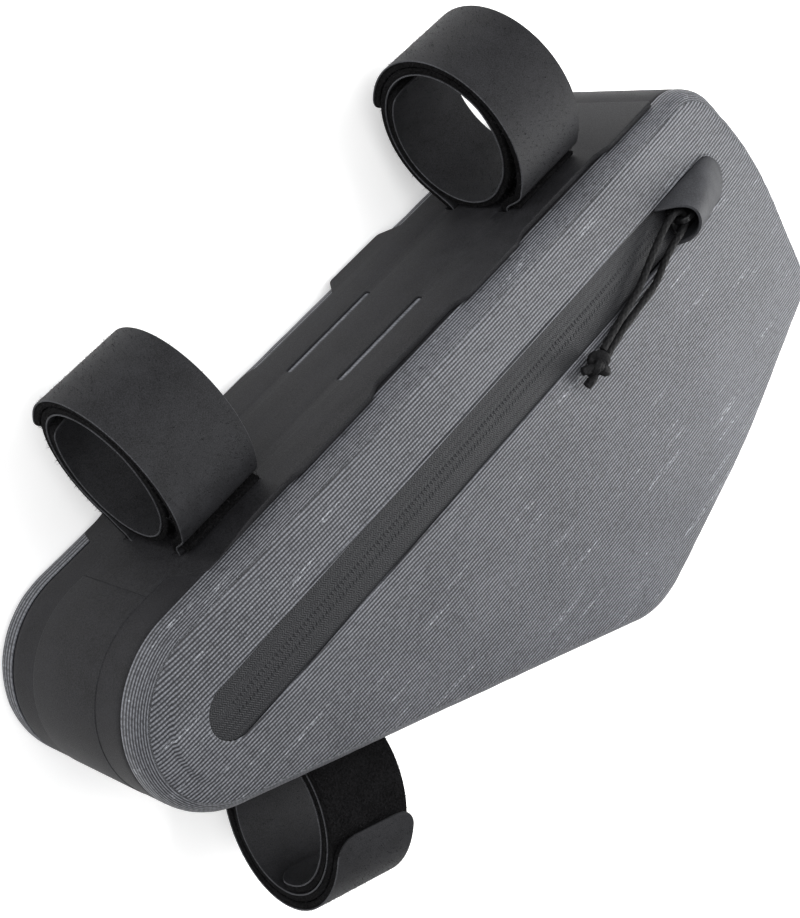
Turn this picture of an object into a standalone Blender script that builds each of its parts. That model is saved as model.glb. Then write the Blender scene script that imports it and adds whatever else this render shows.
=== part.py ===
# Bicycle frame bag lying on its back side panel, unfastened.
# World frame: +X runs from the nose to the rear, +Y towards the top edge, +Z out of the zipped panel.
# The floor is z = 0, and the origin is the middle of the flat patch that the bag rests on.
# Most pieces are first placed in bag lengths: s from the nose tip along +X, d down from the top edge.

import math

import bmesh
import bpy
from mathutils import Matrix, Vector

# Driving dimensions, in metres
BAG_LENGTH = 0.2930
BAG_HEIGHT = 0.1385
BAND_WIDTH = 0.0530
BAND_WALL = 0.0018
PANEL_WALL = 0.0018
SHOULDER_WIDTH = 0.0090
SHOULDER_RISE = 0.0080
PANEL_CROWN = 0.0015
CROWN_REACH = 0.0450
NOSE_RADIUS = 0.0300
GAP = 0.0003

HARNESS_THICKNESS = 0.0017
HARNESS_NARROW = 0.0510
HARNESS_WIDE = 0.0565
HARNESS_REAR = 0.0520
CUT_REACH = 0.0050
NOSE_STRIP_WIDTH = 0.0300
NOSE_STRIP_THICKNESS = 0.0008
SLOT_LENGTH = 0.0380
SLOT_WIDTH = 0.0022
SLOT_SPACING = 0.0225
SLOT_START = 0.1195

STRAP_WIDTH = 0.0300
STRAP_THICKNESS = 0.0024
STRAP_LAYER_GAP = 0.0004
STRAP_SLOT_SPACING = 0.0230
STRAP_SLOT_WIDTH = 0.0040
STRAP_SIDE_CLEARANCE = 0.0006
STRAP_FOOT_REACH = 0.0026
STRAP_STEP = 15.0
PATCH_WALL = 0.0016
PATCH_MARGIN = 0.0040
ANCHOR_WIDTH = 0.0360
ANCHOR_MARGIN = 0.0080

ZIP_WIDTH = 0.0170
ZIP_LENGTH = 0.2485
ZIP_START = 0.0200
ZIP_DEPTH = 0.0300
TAPE_THICKNESS = 0.0012
TAPE_RECESS = 0.0007

GARAGE_LENGTH = 0.0300
GARAGE_HEIGHT = 0.0090
GARAGE_WALL = 0.0012
GARAGE_ARCH_STEPS = 10
GARAGE_FULLNESS = 0.8

SLIDER_LENGTH = 0.0090
SLIDER_WIDTH = 0.0080
SLIDER_HEIGHT = 0.0016
SLIDER_INSERT = 0.0043
LUG_LENGTH = 0.0072
LUG_THICKNESS = 0.0018
LUG_HEIGHT = 0.0062
LUG_HOLE = 0.0038

CORD_DIAMETER = 0.0024
KNOT_LENGTH = 0.0100
KNOT_WIDTH = 0.0086
KNOT_HEIGHT = 0.0070

# Corners of the side outline after the nose: share of the length, share of the height down
# from the top edge, and the corner's rounding as a share of the height.
OUTLINE_CORNERS = {
    "rear_top": (0.938, 0.000, 0.140),
    "rear_middle": (0.995, 0.290, 0.900),
    "rear_low": (1.008, 0.700, 0.110),
    "bottom_middle": (0.812, 0.882, 1.400),
    "bottom": (0.588, 1.014, 0.235),
}

# Facets on each corner's arc and on the straight side after it, the nose first.
CORNER_SEGMENTS = (16, 7, 3, 7, 3, 8)
SIDE_SEGMENTS = (9, 2, 2, 3, 3, 6)

# Rings on a panel's face: shares of the way from the shoulder to the nose's centre, then shares
# of the last ring's size.
FACE_RINGS = (0.35, 0.70)
CENTRE_RINGS = (0.65, 0.30)

# The zipped panel's rolled shoulder, from its seam inwards: share of the width, share of the rise.
SHOULDER_SECTION = {
    "seam": (0.00, 0.00),
    "side": (0.02, 0.30),
    "turn": (0.13, 0.62),
    "roll": (0.38, 0.87),
    "lip": (0.70, 0.97),
    "face": (1.00, 1.00),
}

# The back panel's shoulder, which is fuller: the same rows and columns.
BACK_SHOULDER = {
    "seam": (0.00, 0.00),
    "side": (0.00, 0.40),
    "turn": (0.05, 0.72),
    "roll": (0.25, 0.92),
    "lip": (0.62, 0.985),
    "face": (1.00, 1.00),
}

# The harness strip's edge: share of the bag's length at which each width starts, and how much
# further the strip reaches there on the back panel's side.
HARNESS_EDGE = {
    "nose_end": (0.118, "strip", 0.0),
    "front_end": (0.152, "narrow", 0.0045),
    "front_tab": (0.282, "wide", 0.0),
    "notch": (0.402, "narrow", 0.0),
    "middle_tab": (0.538, "wide", 0.0038),
    "rear_step": (0.640, "rear", 0.0),
    "rear_tab": (0.790, "wide", 0.0),
    "rear_end": (0.880, "wide", 0.0),
}

# Each strap: where it sits, the middle of its width along its edge as a share of that edge, the loop's
# half width and height, the angles of its free and inner ends from the loop's foot, and its side.
STRAPS = {
    "strap_front": ("top", 0.220, 0.0249, 0.0498, 135.0, 510.0, 1.0),
    "strap_rear": ("top", 0.733, 0.0275, 0.0527, 120.0, 510.0, 1.0),
    "strap_bottom": ("lower", 0.280, 0.0270, 0.0545, 90.0, 555.0, -1.0),
}

# A strap's way down through its slot: shares of the foot's reach beyond the slot, and shares of the
# depth at which it runs under the plate.
STRAP_DESCENT = (
    (0.60, 0.60),
    (0.08, 0.00),
    (0.00, -0.42),
    (-0.30, -0.86),
    (-1.00, -1.00),
)

# Angles from the loop's foot, in degrees: where the loop ends beside the slots, and where and over
# what sweep the strap moves one layer inwards.
LOOP_FOOT = 45
LAYER_START = 240
LAYER_SWEEP = 75

# The garage hood from its mouth to its end: share of the length, share of the height.
GARAGE_SECTION = {
    "mouth": (0.00, 1.00),
    "front": (0.22, 0.90),
    "middle": (0.48, 0.66),
    "back": (0.72, 0.38),
    "end": (0.90, 0.20),
}

# The zip tape's stations: angles round its end, and steps along its straight run.
TAPE_END_ANGLES = (12, 30, 50, 70, 90)
TAPE_STEPS = 16

# The pull cord's route: s and d from the slider's eye, and its middle line's height above the face.
CORD_ROUTE = [
    (-0.0530, 0.0112, 0.0022),
    (-0.0415, 0.0090, 0.0018),
    (-0.0295, 0.0064, 0.0018),
    (-0.0185, 0.0018, 0.0018),
    (-0.0095, -0.0020, 0.0022),
    (-0.0040, -0.0034, 0.0028),
    (-0.0010, -0.0022, 0.0028),
    (0.0000, 0.0000, 0.0028),
    (-0.0010, 0.0022, 0.0028),
    (-0.0040, 0.0034, 0.0028),
    (-0.0090, 0.0046, 0.0024),
    (-0.0150, 0.0068, 0.0021),
    (-0.0220, 0.0100, 0.0018),
    (-0.0315, 0.0112, 0.0018),
    (-0.0415, 0.0122, 0.0018),
    (-0.0530, 0.0140, 0.0022),
]
EYE_LIFT = 0.0028

GARAGE_END = ZIP_START + ZIP_LENGTH - GAP
GARAGE_START = GARAGE_END - GARAGE_LENGTH
EYE_S = GARAGE_START + SLIDER_INSERT
MID_HEIGHT = SHOULDER_RISE + BAND_WIDTH / 2
FACE_HEIGHT = MID_HEIGHT + BAND_WIDTH / 2 + SHOULDER_RISE
ORIGIN_S = 0.53 * BAG_LENGTH
ORIGIN_D = 0.48 * BAG_HEIGHT


def material(name, colour, roughness):
    made = bpy.data.materials.new(name)
    made.use_nodes = True
    shader = made.node_tree.nodes["Principled BSDF"]
    shader.inputs["Base Color"].default_value = (*colour, 1.0)
    shader.inputs["Roughness"].default_value = roughness
    shader.inputs["Metallic"].default_value = 0.0
    return made


def place(s, d):
    # A point on the side outline's plane, in world X and Y.
    return Vector((s - ORIGIN_S, ORIGIN_D - d))


def add_object(name, mesh, look):
    mesh.materials.append(look)
    made = bpy.data.objects.new(name, mesh)
    bpy.context.collection.objects.link(made)
    return made


def mesh_from(name, vertices, faces, smooth_angle=40):
    mesh = bpy.data.meshes.new(name)
    mesh.from_pydata([tuple(vertex) for vertex in vertices], [], faces)
    work = bmesh.new()
    work.from_mesh(mesh)
    bmesh.ops.recalc_face_normals(work, faces=work.faces)
    work.to_mesh(mesh)
    work.free()
    mesh.shade_smooth()
    mesh.set_sharp_from_angle(angle=math.radians(smooth_angle))
    return mesh


def cut(target, cutter, operation="DIFFERENCE"):
    modifier = target.modifiers.new(operation.lower(), "BOOLEAN")
    modifier.operation = operation
    modifier.solver = "EXACT"
    modifier.object = cutter
    cutter.hide_render = True
    cutter.display_type = "WIRE"


def tangent_corner():
    # Where the top edge and the lower edge meet, if the lower edge touches the nose's circle.
    centre = Vector((NOSE_RADIUS, NOSE_RADIUS))
    share_s, share_d, _ = OUTLINE_CORNERS["bottom"]
    bottom = Vector((share_s * BAG_LENGTH, share_d * BAG_HEIGHT))
    reach = centre - bottom
    spread = math.asin(NOSE_RADIUS / reach.length)
    heading = math.atan2(reach.y, reach.x) - spread
    direction = Vector((math.cos(heading), math.sin(heading)))
    return bottom + direction * (-bottom.y / direction.y)


def sharp_outline():
    # The outline's corners in s and d with their roundings, the nose first.
    corners = [(tangent_corner(), NOSE_RADIUS)]
    for share_s, share_d, share_radius in OUTLINE_CORNERS.values():
        point = Vector((share_s * BAG_LENGTH, share_d * BAG_HEIGHT))
        corners.append((point, share_radius * BAG_HEIGHT))
    return corners


CORNERS = sharp_outline()


def outline(inset):
    # The rounded outline, moved inwards by inset, in world X and Y with the same points each time.
    count = len(CORNERS)
    middle = sum((point for point, _ in CORNERS), Vector((0, 0))) / count
    lines = []
    for index in range(count):
        start = CORNERS[index][0]
        along = (CORNERS[(index + 1) % count][0] - start).normalized()
        inward = Vector((-along.y, along.x))
        if inward.dot(middle - start) < 0:
            inward = -inward
        lines.append((start + inward * inset, along))
    arcs = []
    for index in range(count):
        before, along_before = lines[index - 1]
        after, along_after = lines[index]
        turn = along_before.x * along_after.y - along_before.y * along_after.x
        offset = after - before
        reach = (offset.x * along_after.y - offset.y * along_after.x) / turn
        corner = before + along_before * reach
        angle = along_before.angle_signed(along_after)
        radius = max(CORNERS[index][1] - inset, 0.001)
        tangent = radius * abs(math.tan(angle / 2))
        first = corner - along_before * tangent
        side = Vector((-along_before.y, along_before.x)) * math.copysign(1, turn)
        centre = first + side * radius
        segments = CORNER_SEGMENTS[index]
        arc = []
        for step in range(segments + 1):
            swing = -angle * step / segments
            spoke = first - centre
            turned = Vector((
                spoke.x * math.cos(swing) - spoke.y * math.sin(swing),
                spoke.x * math.sin(swing) + spoke.y * math.cos(swing),
            ))
            arc.append(centre + turned)
        arcs.append(arc)
    points = []
    for index in range(count):
        arc = arcs[index]
        following = arcs[(index + 1) % count][0]
        points.extend(arc)
        for step in range(1, SIDE_SEGMENTS[index]):
            points.append(arc[-1].lerp(following, step / SIDE_SEGMENTS[index]))
    return [place(point.x, point.y) for point in points]


def inset_at(point):
    # How far a world point lies inside the outline's straight sides.
    nearest = BAG_HEIGHT
    count = len(CORNERS)
    for index in range(count):
        start = place(*CORNERS[index][0])
        end = place(*CORNERS[(index + 1) % count][0])
        along = (end - start).normalized()
        offset = point - start
        nearest = min(nearest, abs(along.x * offset.y - along.y * offset.x))
    return nearest


def crown_at(point):
    # The crown's height above the shoulder at a world point.
    share = (inset_at(point) - SHOULDER_WIDTH) / (CROWN_REACH - SHOULDER_WIDTH)
    share = min(max(share, 0.0), 1.0)
    return PANEL_CROWN * (1 - (1 - share) ** 2)


def face_height(s, d):
    # World height of the zipped panel's outer face.
    return FACE_HEIGHT + crown_at(place(s, d))


def shoulder_profile(section, wall):
    # A shoulder's section as inset and rise, moved into the wall by the given thickness.
    outer = [(share_w * SHOULDER_WIDTH, share_r * SHOULDER_RISE) for share_w, share_r in section.values()]
    if wall == 0:
        return outer
    moved = [(outer[0][0] + wall, outer[0][1])]
    for index in range(1, len(outer)):
        before = Vector(outer[index - 1])
        after = Vector(outer[min(index + 1, len(outer) - 1)])
        along = (after - before).normalized()
        moved.append((outer[index][0] + along.y * wall, outer[index][1] - along.x * wall))
    return moved


def panel_rings(wall, crowned):
    # Rings of one panel surface, seam first, as points with the rise above the seam.
    rings = []
    section = SHOULDER_SECTION if crowned else BACK_SHOULDER
    for inset, rise in shoulder_profile(section, wall):
        rings.append([Vector((p.x, p.y, rise)) for p in outline(inset)])
    for share in FACE_RINGS:
        inset = SHOULDER_WIDTH + share * (NOSE_RADIUS - SHOULDER_WIDTH)
        rings.append([Vector((p.x, p.y, SHOULDER_RISE - wall)) for p in outline(inset)])
    last = rings[-1]
    centre = sum(last, Vector((0, 0, 0))) / len(last)
    for share in CENTRE_RINGS:
        rings.append([centre + (p - centre) * share for p in last])
    rings.append([centre.copy()])
    if crowned:
        for ring in rings[len(section):]:
            for point in ring:
                point.z += crown_at(point.xy)
    return rings


def panel_mesh(name, crowned, facing):
    # A hollow side panel: outer and inner surface joined at the seam rim.
    vertices = []
    faces = []
    rims = []
    for wall in (0, PANEL_WALL):
        starts = []
        for ring in panel_rings(wall, crowned):
            starts.append(len(vertices))
            for point in ring:
                rise = BAND_WIDTH / 2 + point.z
                vertices.append((point.x, point.y, MID_HEIGHT + facing * rise))
        count = starts[1] - starts[0]
        rims.append(starts[0])
        for lower, upper in zip(starts[:-2], starts[1:-1]):
            for index in range(count):
                nxt = (index + 1) % count
                faces.append((lower + index, lower + nxt, upper + nxt, upper + index))
        for index in range(count):
            faces.append((starts[-2] + index, starts[-2] + (index + 1) % count, starts[-1]))
    for index in range(count):
        nxt = (index + 1) % count
        faces.append((rims[0] + index, rims[0] + nxt, rims[1] + nxt, rims[1] + index))
    return mesh_from(name, vertices, faces)


def prism(name, points, low, high):
    # A closed prism over a flat outline.
    count = len(points)
    vertices = [(p.x, p.y, low) for p in points] + [(p.x, p.y, high) for p in points]
    faces = [tuple(range(count)), tuple(range(count, 2 * count))]
    for index in range(count):
        nxt = (index + 1) % count
        faces.append((index, nxt, count + nxt, count + index))
    return mesh_from(name, vertices, faces)


def stadium(s_start, s_end, d_middle, width, segments=10):
    # A slot shape with round ends, along s.
    radius = width / 2
    points = []
    for centre, first in ((s_end - radius, -90), (s_start + radius, 90)):
        for step in range(segments + 1):
            angle = math.radians(first + 180 * step / segments)
            points.append(place(centre + radius * math.cos(angle), d_middle - radius * math.sin(angle)))
    return points


def side_panels(grey):
    front = add_object("side_panel_front", panel_mesh("side_panel_front", True, 1), grey)
    back = add_object("side_panel_back", panel_mesh("side_panel_back", False, -1), grey)
    opening = stadium(ZIP_START, ZIP_START + ZIP_LENGTH, ZIP_DEPTH, ZIP_WIDTH)
    opening_mesh = prism("zip_opening", opening, MID_HEIGHT, FACE_HEIGHT + PANEL_CROWN + CUT_REACH)
    cut(front, add_object("zip_opening", opening_mesh, grey))
    return front, back


def lower_edge():
    # The lower edge: its start beside the nose's arc, its end corner, and its direction.
    tip = place(*CORNERS[0][0])
    end = place(*CORNERS[-1][0])
    along = (end - tip).normalized()
    touch = NOSE_RADIUS / math.tan(math.acos(along.x) / 2)
    return tip + along * touch, end, along


def edge_frame(edge, share):
    # A frame on an edge of the band: X along the edge, Y across the bag's width, Z outwards.
    if edge == "top":
        along = Vector((1, 0))
        origin = place(share * BAG_LENGTH, 0)
    else:
        start, end, along = lower_edge()
        origin = start.lerp(end, share)
    outward = Vector((0, 1)) if edge == "top" else Vector((along.y, -along.x))
    return Matrix((
        (along.x, 0, outward.x, origin.x),
        (along.y, 0, outward.y, origin.y),
        (0, 1, 0, MID_HEIGHT),
        (0, 0, 0, 1),
    ))


def box_mesh(name, frame, x_size, y_size, z_low, z_high):
    # A box in an edge frame, centred on its X and Y.
    corners = []
    for z in (z_low, z_high):
        for x, y in ((-1, -1), (1, -1), (1, 1), (-1, 1)):
            corners.append(frame @ Vector((x * x_size / 2, y * y_size / 2, z)))
    faces = [(0, 3, 2, 1), (4, 5, 6, 7), (0, 1, 5, 4), (1, 2, 6, 5), (2, 3, 7, 6), (3, 0, 4, 7)]
    return mesh_from(name, corners, faces)


POCKET_DEPTH = STRAP_THICKNESS + 2 * GAP
PATCH_DEPTH = POCKET_DEPTH + PATCH_WALL
POCKET_WIDTH = STRAP_SLOT_SPACING + STRAP_SLOT_WIDTH


def gusset_band(black):
    # The band round the whole outline, thickened under each strap and pocketed for it.
    outer = outline(0)
    inner = outline(BAND_WALL)
    count = len(outer)
    low = MID_HEIGHT - BAND_WIDTH / 2 + GAP
    high = MID_HEIGHT + BAND_WIDTH / 2 - GAP
    vertices = []
    for points, height in ((outer, low), (outer, high), (inner, high), (inner, low)):
        vertices.extend((p.x, p.y, height) for p in points)
    faces = []
    for ring in range(4):
        base = ring * count
        following = ((ring + 1) % 4) * count
        for index in range(count):
            nxt = (index + 1) % count
            faces.append((base + index, base + nxt, following + nxt, following + index))
    band = add_object("gusset_band", mesh_from("gusset_band", vertices, faces), black)
    for name, (edge, share, *_) in STRAPS.items():
        frame = edge_frame(edge, share)
        length = STRAP_WIDTH + 2 * (STRAP_SIDE_CLEARANCE + PATCH_MARGIN)
        width = POCKET_WIDTH + 2 * PATCH_MARGIN
        patch = box_mesh(name + "_patch", frame, length, width, -PATCH_DEPTH, -BAND_WALL / 2)
        cut(band, add_object(name + "_patch", patch, black), "UNION")
        length = STRAP_WIDTH + 2 * STRAP_SIDE_CLEARANCE
        pocket = box_mesh(name + "_pocket", frame, length, POCKET_WIDTH, -POCKET_DEPTH, POCKET_DEPTH)
        cut(band, add_object(name + "_pocket", pocket, black))
    return band


def plate_slots(plate, name, frame, look):
    # The two slots that a strap runs through.
    for side in (-1, 1):
        shift = frame @ Matrix.Translation((0, side * STRAP_SLOT_SPACING / 2, 0))
        length = STRAP_WIDTH + 2 * STRAP_SIDE_CLEARANCE
        slot = box_mesh(name, shift, length, STRAP_SLOT_WIDTH, -CUT_REACH, CUT_REACH)
        cut(plate, add_object("%s_slot_%d" % (name, side), slot, look))


def harness(black):
    # The rubbery strip on the top edge, with its tabs, two long slots and the top straps' slots.
    widths = {"strip": NOSE_STRIP_WIDTH, "narrow": HARNESS_NARROW, "wide": HARNESS_WIDE, "rear": HARNESS_REAR}
    rows = list(HARNESS_EDGE.values())
    chamfer = HARNESS_WIDE - HARNESS_NARROW
    near = []
    far = []
    for index, (share, width, reach) in enumerate(rows[:-1]):
        start = share * BAG_LENGTH + (chamfer / 2 if index else 0)
        end = rows[index + 1][0] * BAG_LENGTH - (chamfer / 2 if index < len(rows) - 2 else 0)
        for s in (start, end):
            near.append((s, widths[width] / 2))
            far.append((s, -widths[width] / 2 - reach))
    edge = near + far[::-1]
    vertices = []
    for height in (GAP, GAP + HARNESS_THICKNESS):
        for s, w in edge:
            point = place(s, -height)
            vertices.append((point.x, point.y, MID_HEIGHT + w))
    count = len(edge)
    faces = [tuple(range(count)), tuple(range(count, 2 * count))]
    for index in range(count):
        nxt = (index + 1) % count
        faces.append((index, nxt, count + nxt, count + index))
    plate = add_object("harness", mesh_from("harness", vertices, faces), black)
    for name, (edge_name, share, *_) in STRAPS.items():
        if edge_name == "top":
            plate_slots(plate, name, edge_frame(edge_name, share), black)
    for side in (-1, 1):
        share = (SLOT_START + SLOT_LENGTH / 2) / BAG_LENGTH
        frame = edge_frame("top", share) @ Matrix.Translation((0, side * SLOT_SPACING / 2, 0))
        slot = box_mesh("long_slot", frame, SLOT_LENGTH, SLOT_WIDTH, -CUT_REACH, CUT_REACH)
        cut(plate, add_object("long_slot_%d" % side, slot, black))
    return plate


def nose_strip(black):
    # The thin strip that runs from the harness round the nose to the bottom plate.
    start, end, along = lower_edge()
    share = STRAPS["strap_bottom"][1]
    reach = share * (end - start).length - STRAP_WIDTH / 2 - ANCHOR_MARGIN - GAP
    top_end = place(HARNESS_EDGE["nose_end"][0] * BAG_LENGTH - GAP, 0)
    rows = []
    for lift in (GAP, GAP + NOSE_STRIP_THICKNESS):
        arc = outline(-lift)[:CORNER_SEGMENTS[0] + 1]
        lower = start + along * reach + Vector((along.y, -along.x)) * lift
        upper = top_end + Vector((0, lift))
        run = arc if (arc[0] - upper).length < (arc[-1] - upper).length else arc[::-1]
        rows.append([upper] + run + [lower])
    vertices = []
    for side in (-0.5, 0.5):
        for row in rows:
            vertices.extend((p.x, p.y, MID_HEIGHT + side * NOSE_STRIP_WIDTH) for p in row)
    count = len(rows[0])
    faces = []
    for first, second in ((0, 1), (1, 3), (3, 2), (2, 0)):
        for index in range(count - 1):
            a = first * count + index
            b = second * count + index
            faces.append((a, a + 1, b + 1, b))
    for index in (0, count - 1):
        faces.append((index, count + index, 3 * count + index, 2 * count + index))
    return add_object("nose_strip", mesh_from("nose_strip", vertices, faces), black)


def bottom_anchor(black):
    # The small plate under the lower edge that holds the bottom strap.
    edge, share, *_ = STRAPS["strap_bottom"]
    frame = edge_frame(edge, share)
    length = STRAP_WIDTH + 2 * ANCHOR_MARGIN
    mesh = box_mesh("bottom_anchor", frame, length, ANCHOR_WIDTH, GAP, GAP + HARNESS_THICKNESS)
    plate = add_object("bottom_anchor", mesh, black)
    plate_slots(plate, "strap_bottom", frame, black)
    return plate


def strap_path(half_width, height, free_end, inner_end):
    # The rolled strap's middle line: across the bag's width, and out from the plate's outer face.
    pitch = STRAP_THICKNESS + STRAP_LAYER_GAP
    across = half_width - STRAP_THICKNESS / 2
    upright = (height - STRAP_THICKNESS - GAP + 2 * pitch) / 2
    centre = GAP + STRAP_THICKNESS / 2 + upright - 2 * pitch

    def around(angle, layer):
        turn = math.radians(angle)
        wide = across - layer * pitch
        tall = upright - layer * pitch
        return (-wide * math.sin(turn), centre - tall * math.cos(turn))

    slot = STRAP_SLOT_SPACING / 2
    under = -(HARNESS_THICKNESS + GAP + STRAP_THICKNESS / 2)
    path = []
    angle = free_end
    while angle <= 360 - LOOP_FOOT:
        path.append(around(angle, 0))
        angle += STRAP_STEP
    descent = [(slot + reach * STRAP_FOOT_REACH, -share * under) for reach, share in STRAP_DESCENT]
    path.extend(descent)
    path.extend((-across_slot, out) for across_slot, out in reversed(descent))
    angle = LOOP_FOOT
    while angle <= inner_end:
        layer = 1 + min(max((angle - LAYER_START) / LAYER_SWEEP, 0), 1)
        path.append(around(angle, layer))
        angle += STRAP_STEP
    return path


def strap(name, black):
    edge, share, half_width, height, free_end, inner_end, side = STRAPS[name]
    frame = edge_frame(edge, share) @ Matrix.Translation((0, 0, GAP + HARNESS_THICKNESS))
    path = strap_path(half_width, height, free_end, inner_end)
    vertices = []
    count = len(path)
    for index, (across, out) in enumerate(path):
        before = Vector(path[max(index - 1, 0)])
        after = Vector(path[min(index + 1, count - 1)])
        along = (after - before).normalized()
        here = Vector((across, out))
        inward = Vector((-along.y, along.x))
        if 0 < index < count - 1:
            bend = (here - before).normalized().dot((after - here).normalized())
            inward = inward / math.sqrt(max((1 + bend) / 2, 0.25))
        for face in (-0.5, 0.5):
            edge_point = here + inward * (face * STRAP_THICKNESS)
            for end in (-0.5, 0.5):
                local = Vector((end * STRAP_WIDTH, side * edge_point.x, edge_point.y))
                vertices.append(frame @ local)
    faces = [(0, 1, 3, 2)]
    for index in range(count - 1):
        base = 4 * index
        for first, second in ((0, 1), (1, 3), (3, 2), (2, 0)):
            faces.append((base + first, base + second, base + 4 + second, base + 4 + first))
    last = 4 * (count - 1)
    faces.append((last, last + 2, last + 3, last + 1))
    return add_object(name, mesh_from(name, vertices, faces), black)


def zip_tape(black):
    # The zip's tape, filling the opening just under the panel's face.
    radius = ZIP_WIDTH / 2 - GAP
    length = ZIP_LENGTH - 2 * GAP
    ends = [radius * (1 - math.cos(math.radians(angle))) for angle in TAPE_END_ANGLES]
    straight = [radius + (length - 2 * radius) * step / TAPE_STEPS for step in range(1, TAPE_STEPS)]
    stations = ends + straight + [length - reach for reach in reversed(ends)]
    vertices = []
    for reach in stations:
        nearest = min(reach, length - reach, radius)
        half = math.sqrt(max(radius ** 2 - (radius - nearest) ** 2, 0))
        for drop in (TAPE_RECESS, TAPE_RECESS + TAPE_THICKNESS):
            for share in (-1, 0, 1):
                s = ZIP_START + GAP + reach
                d = ZIP_DEPTH + share * half
                point = place(s, d)
                vertices.append((point.x, point.y, face_height(s, d) - drop))
    faces = []
    loop = (0, 1, 2, 5, 4, 3)
    for index in range(len(stations) - 1):
        base = 6 * index
        for first, second in zip(loop, loop[1:] + loop[:1]):
            faces.append((base + first, base + second, base + 6 + second, base + 6 + first))
    last = 6 * (len(stations) - 1)
    faces.append(loop)
    faces.append(tuple(last + index for index in loop))
    return add_object("zip_tape", mesh_from("zip_tape", vertices, faces), black)


def zip_garage(black):
    # The hood over the zip's closed end, open towards the tape.
    radius = ZIP_WIDTH / 2 - GAP
    lift = GAP - TAPE_RECESS
    vertices = []
    for wall in (0, GARAGE_WALL):
        for share, share_height in GARAGE_SECTION.values():
            reach = (1 - share) * (GARAGE_LENGTH - wall)
            half = math.sqrt(max(radius ** 2 - (radius - min(reach, radius)) ** 2, 0)) - wall
            tall = max(share_height * GARAGE_HEIGHT - wall, GAP)
            for step in range(GARAGE_ARCH_STEPS + 1):
                angle = math.pi * step / GARAGE_ARCH_STEPS
                s = GARAGE_START + share * (GARAGE_LENGTH - wall)
                d = ZIP_DEPTH - half * math.cos(angle)
                point = place(s, d)
                height = FACE_HEIGHT + PANEL_CROWN + lift + tall * math.sin(angle) ** GARAGE_FULLNESS
                vertices.append((point.x, point.y, height))
    row = GARAGE_ARCH_STEPS + 1
    rows = len(GARAGE_SECTION)
    inner = row * rows
    faces = []
    for index in range(rows - 1):
        for step in range(GARAGE_ARCH_STEPS):
            base = index * row + step
            faces.append((base, base + 1, base + row + 1, base + row))
            faces.append((inner + base, inner + base + row, inner + base + row + 1, inner + base + 1))
        for step in (0, GARAGE_ARCH_STEPS):
            base = index * row + step
            faces.append((base, base + row, inner + base + row, inner + base))
    for step in range(GARAGE_ARCH_STEPS):
        faces.append((step, step + 1, inner + step + 1, inner + step))
        base = (rows - 1) * row + step
        faces.append((base, base + 1, inner + base + 1, inner + base))
    return add_object("zip_garage", mesh_from("zip_garage", vertices, faces), black)


def zip_slider(metal):
    # The slider in the garage's mouth, with an upright lug that the cord runs through.
    point = place(EYE_S, ZIP_DEPTH)
    face = face_height(EYE_S, ZIP_DEPTH)
    floor = face - TAPE_RECESS + GAP
    base = Matrix.Translation((point.x, point.y, floor))
    body = box_mesh("zip_slider", base, SLIDER_LENGTH, SLIDER_WIDTH, 0, SLIDER_HEIGHT)
    slider = add_object("zip_slider", body, metal)
    lug_mesh = box_mesh("slider_lug", base, LUG_LENGTH, LUG_THICKNESS, SLIDER_HEIGHT / 2, LUG_HEIGHT)
    cut(slider, add_object("slider_lug", lug_mesh, metal), "UNION")
    work = bmesh.new()
    eye = Matrix.Translation((point.x, point.y, face + EYE_LIFT)) @ Matrix.Rotation(math.pi / 2, 4, "X")
    bmesh.ops.create_cone(work, cap_ends=True, segments=16, radius1=LUG_HOLE / 2, radius2=LUG_HOLE / 2,
                          depth=2 * LUG_THICKNESS, matrix=eye)
    eye_mesh = bpy.data.meshes.new("slider_eye")
    work.to_mesh(eye_mesh)
    work.free()
    cut(slider, add_object("slider_eye", eye_mesh, metal))
    return slider


def smooth_route(points, per_span=3):
    # A curve through the route's points, with evenly shared points on each span.
    smooth = []
    for index in range(len(points) - 1):
        a = points[max(index - 1, 0)]
        b = points[index]
        c = points[index + 1]
        d = points[min(index + 2, len(points) - 1)]
        for step in range(per_span):
            t = step / per_span
            smooth.append(0.5 * (2 * b + (c - a) * t + (2 * a - 5 * b + 4 * c - d) * t * t
                                 + (3 * b - a - 3 * c + d) * t * t * t))
    smooth.append(points[-1])
    return smooth


def pull_cord(black):
    points = []
    for along, down, lift in CORD_ROUTE:
        s = EYE_S + along
        d = ZIP_DEPTH + down
        flat = place(s, d)
        points.append(Vector((flat.x, flat.y, face_height(s, d) + lift)))
    route = smooth_route(points)
    curve = bpy.data.curves.new("pull_cord", "CURVE")
    curve.dimensions = "3D"
    curve.bevel_depth = CORD_DIAMETER / 2
    curve.bevel_resolution = 2
    curve.use_fill_caps = True
    spline = curve.splines.new("POLY")
    spline.points.add(len(route) - 1)
    for index, point in enumerate(route):
        spline.points[index].co = (*point, 1)
    curve.materials.append(black)
    made = bpy.data.objects.new("pull_cord", curve)
    bpy.context.collection.objects.link(made)
    return made


def cord_knot(black):
    d = ZIP_DEPTH + (CORD_ROUTE[0][1] + CORD_ROUTE[-1][1]) / 2
    s = EYE_S + CORD_ROUTE[0][0] - GAP - KNOT_LENGTH / 2
    point = place(s, d)
    work = bmesh.new()
    bmesh.ops.create_uvsphere(work, u_segments=16, v_segments=9, radius=0.5)
    size = Matrix.Diagonal((KNOT_LENGTH, KNOT_WIDTH, KNOT_HEIGHT, 1))
    bmesh.ops.transform(work, matrix=size, verts=work.verts)
    mesh = bpy.data.meshes.new("cord_knot")
    work.to_mesh(mesh)
    work.free()
    mesh.shade_smooth()
    knot = add_object("cord_knot", mesh, black)
    knot.location = (point.x, point.y, face_height(s, d) + GAP + KNOT_HEIGHT / 2)
    return knot


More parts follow.
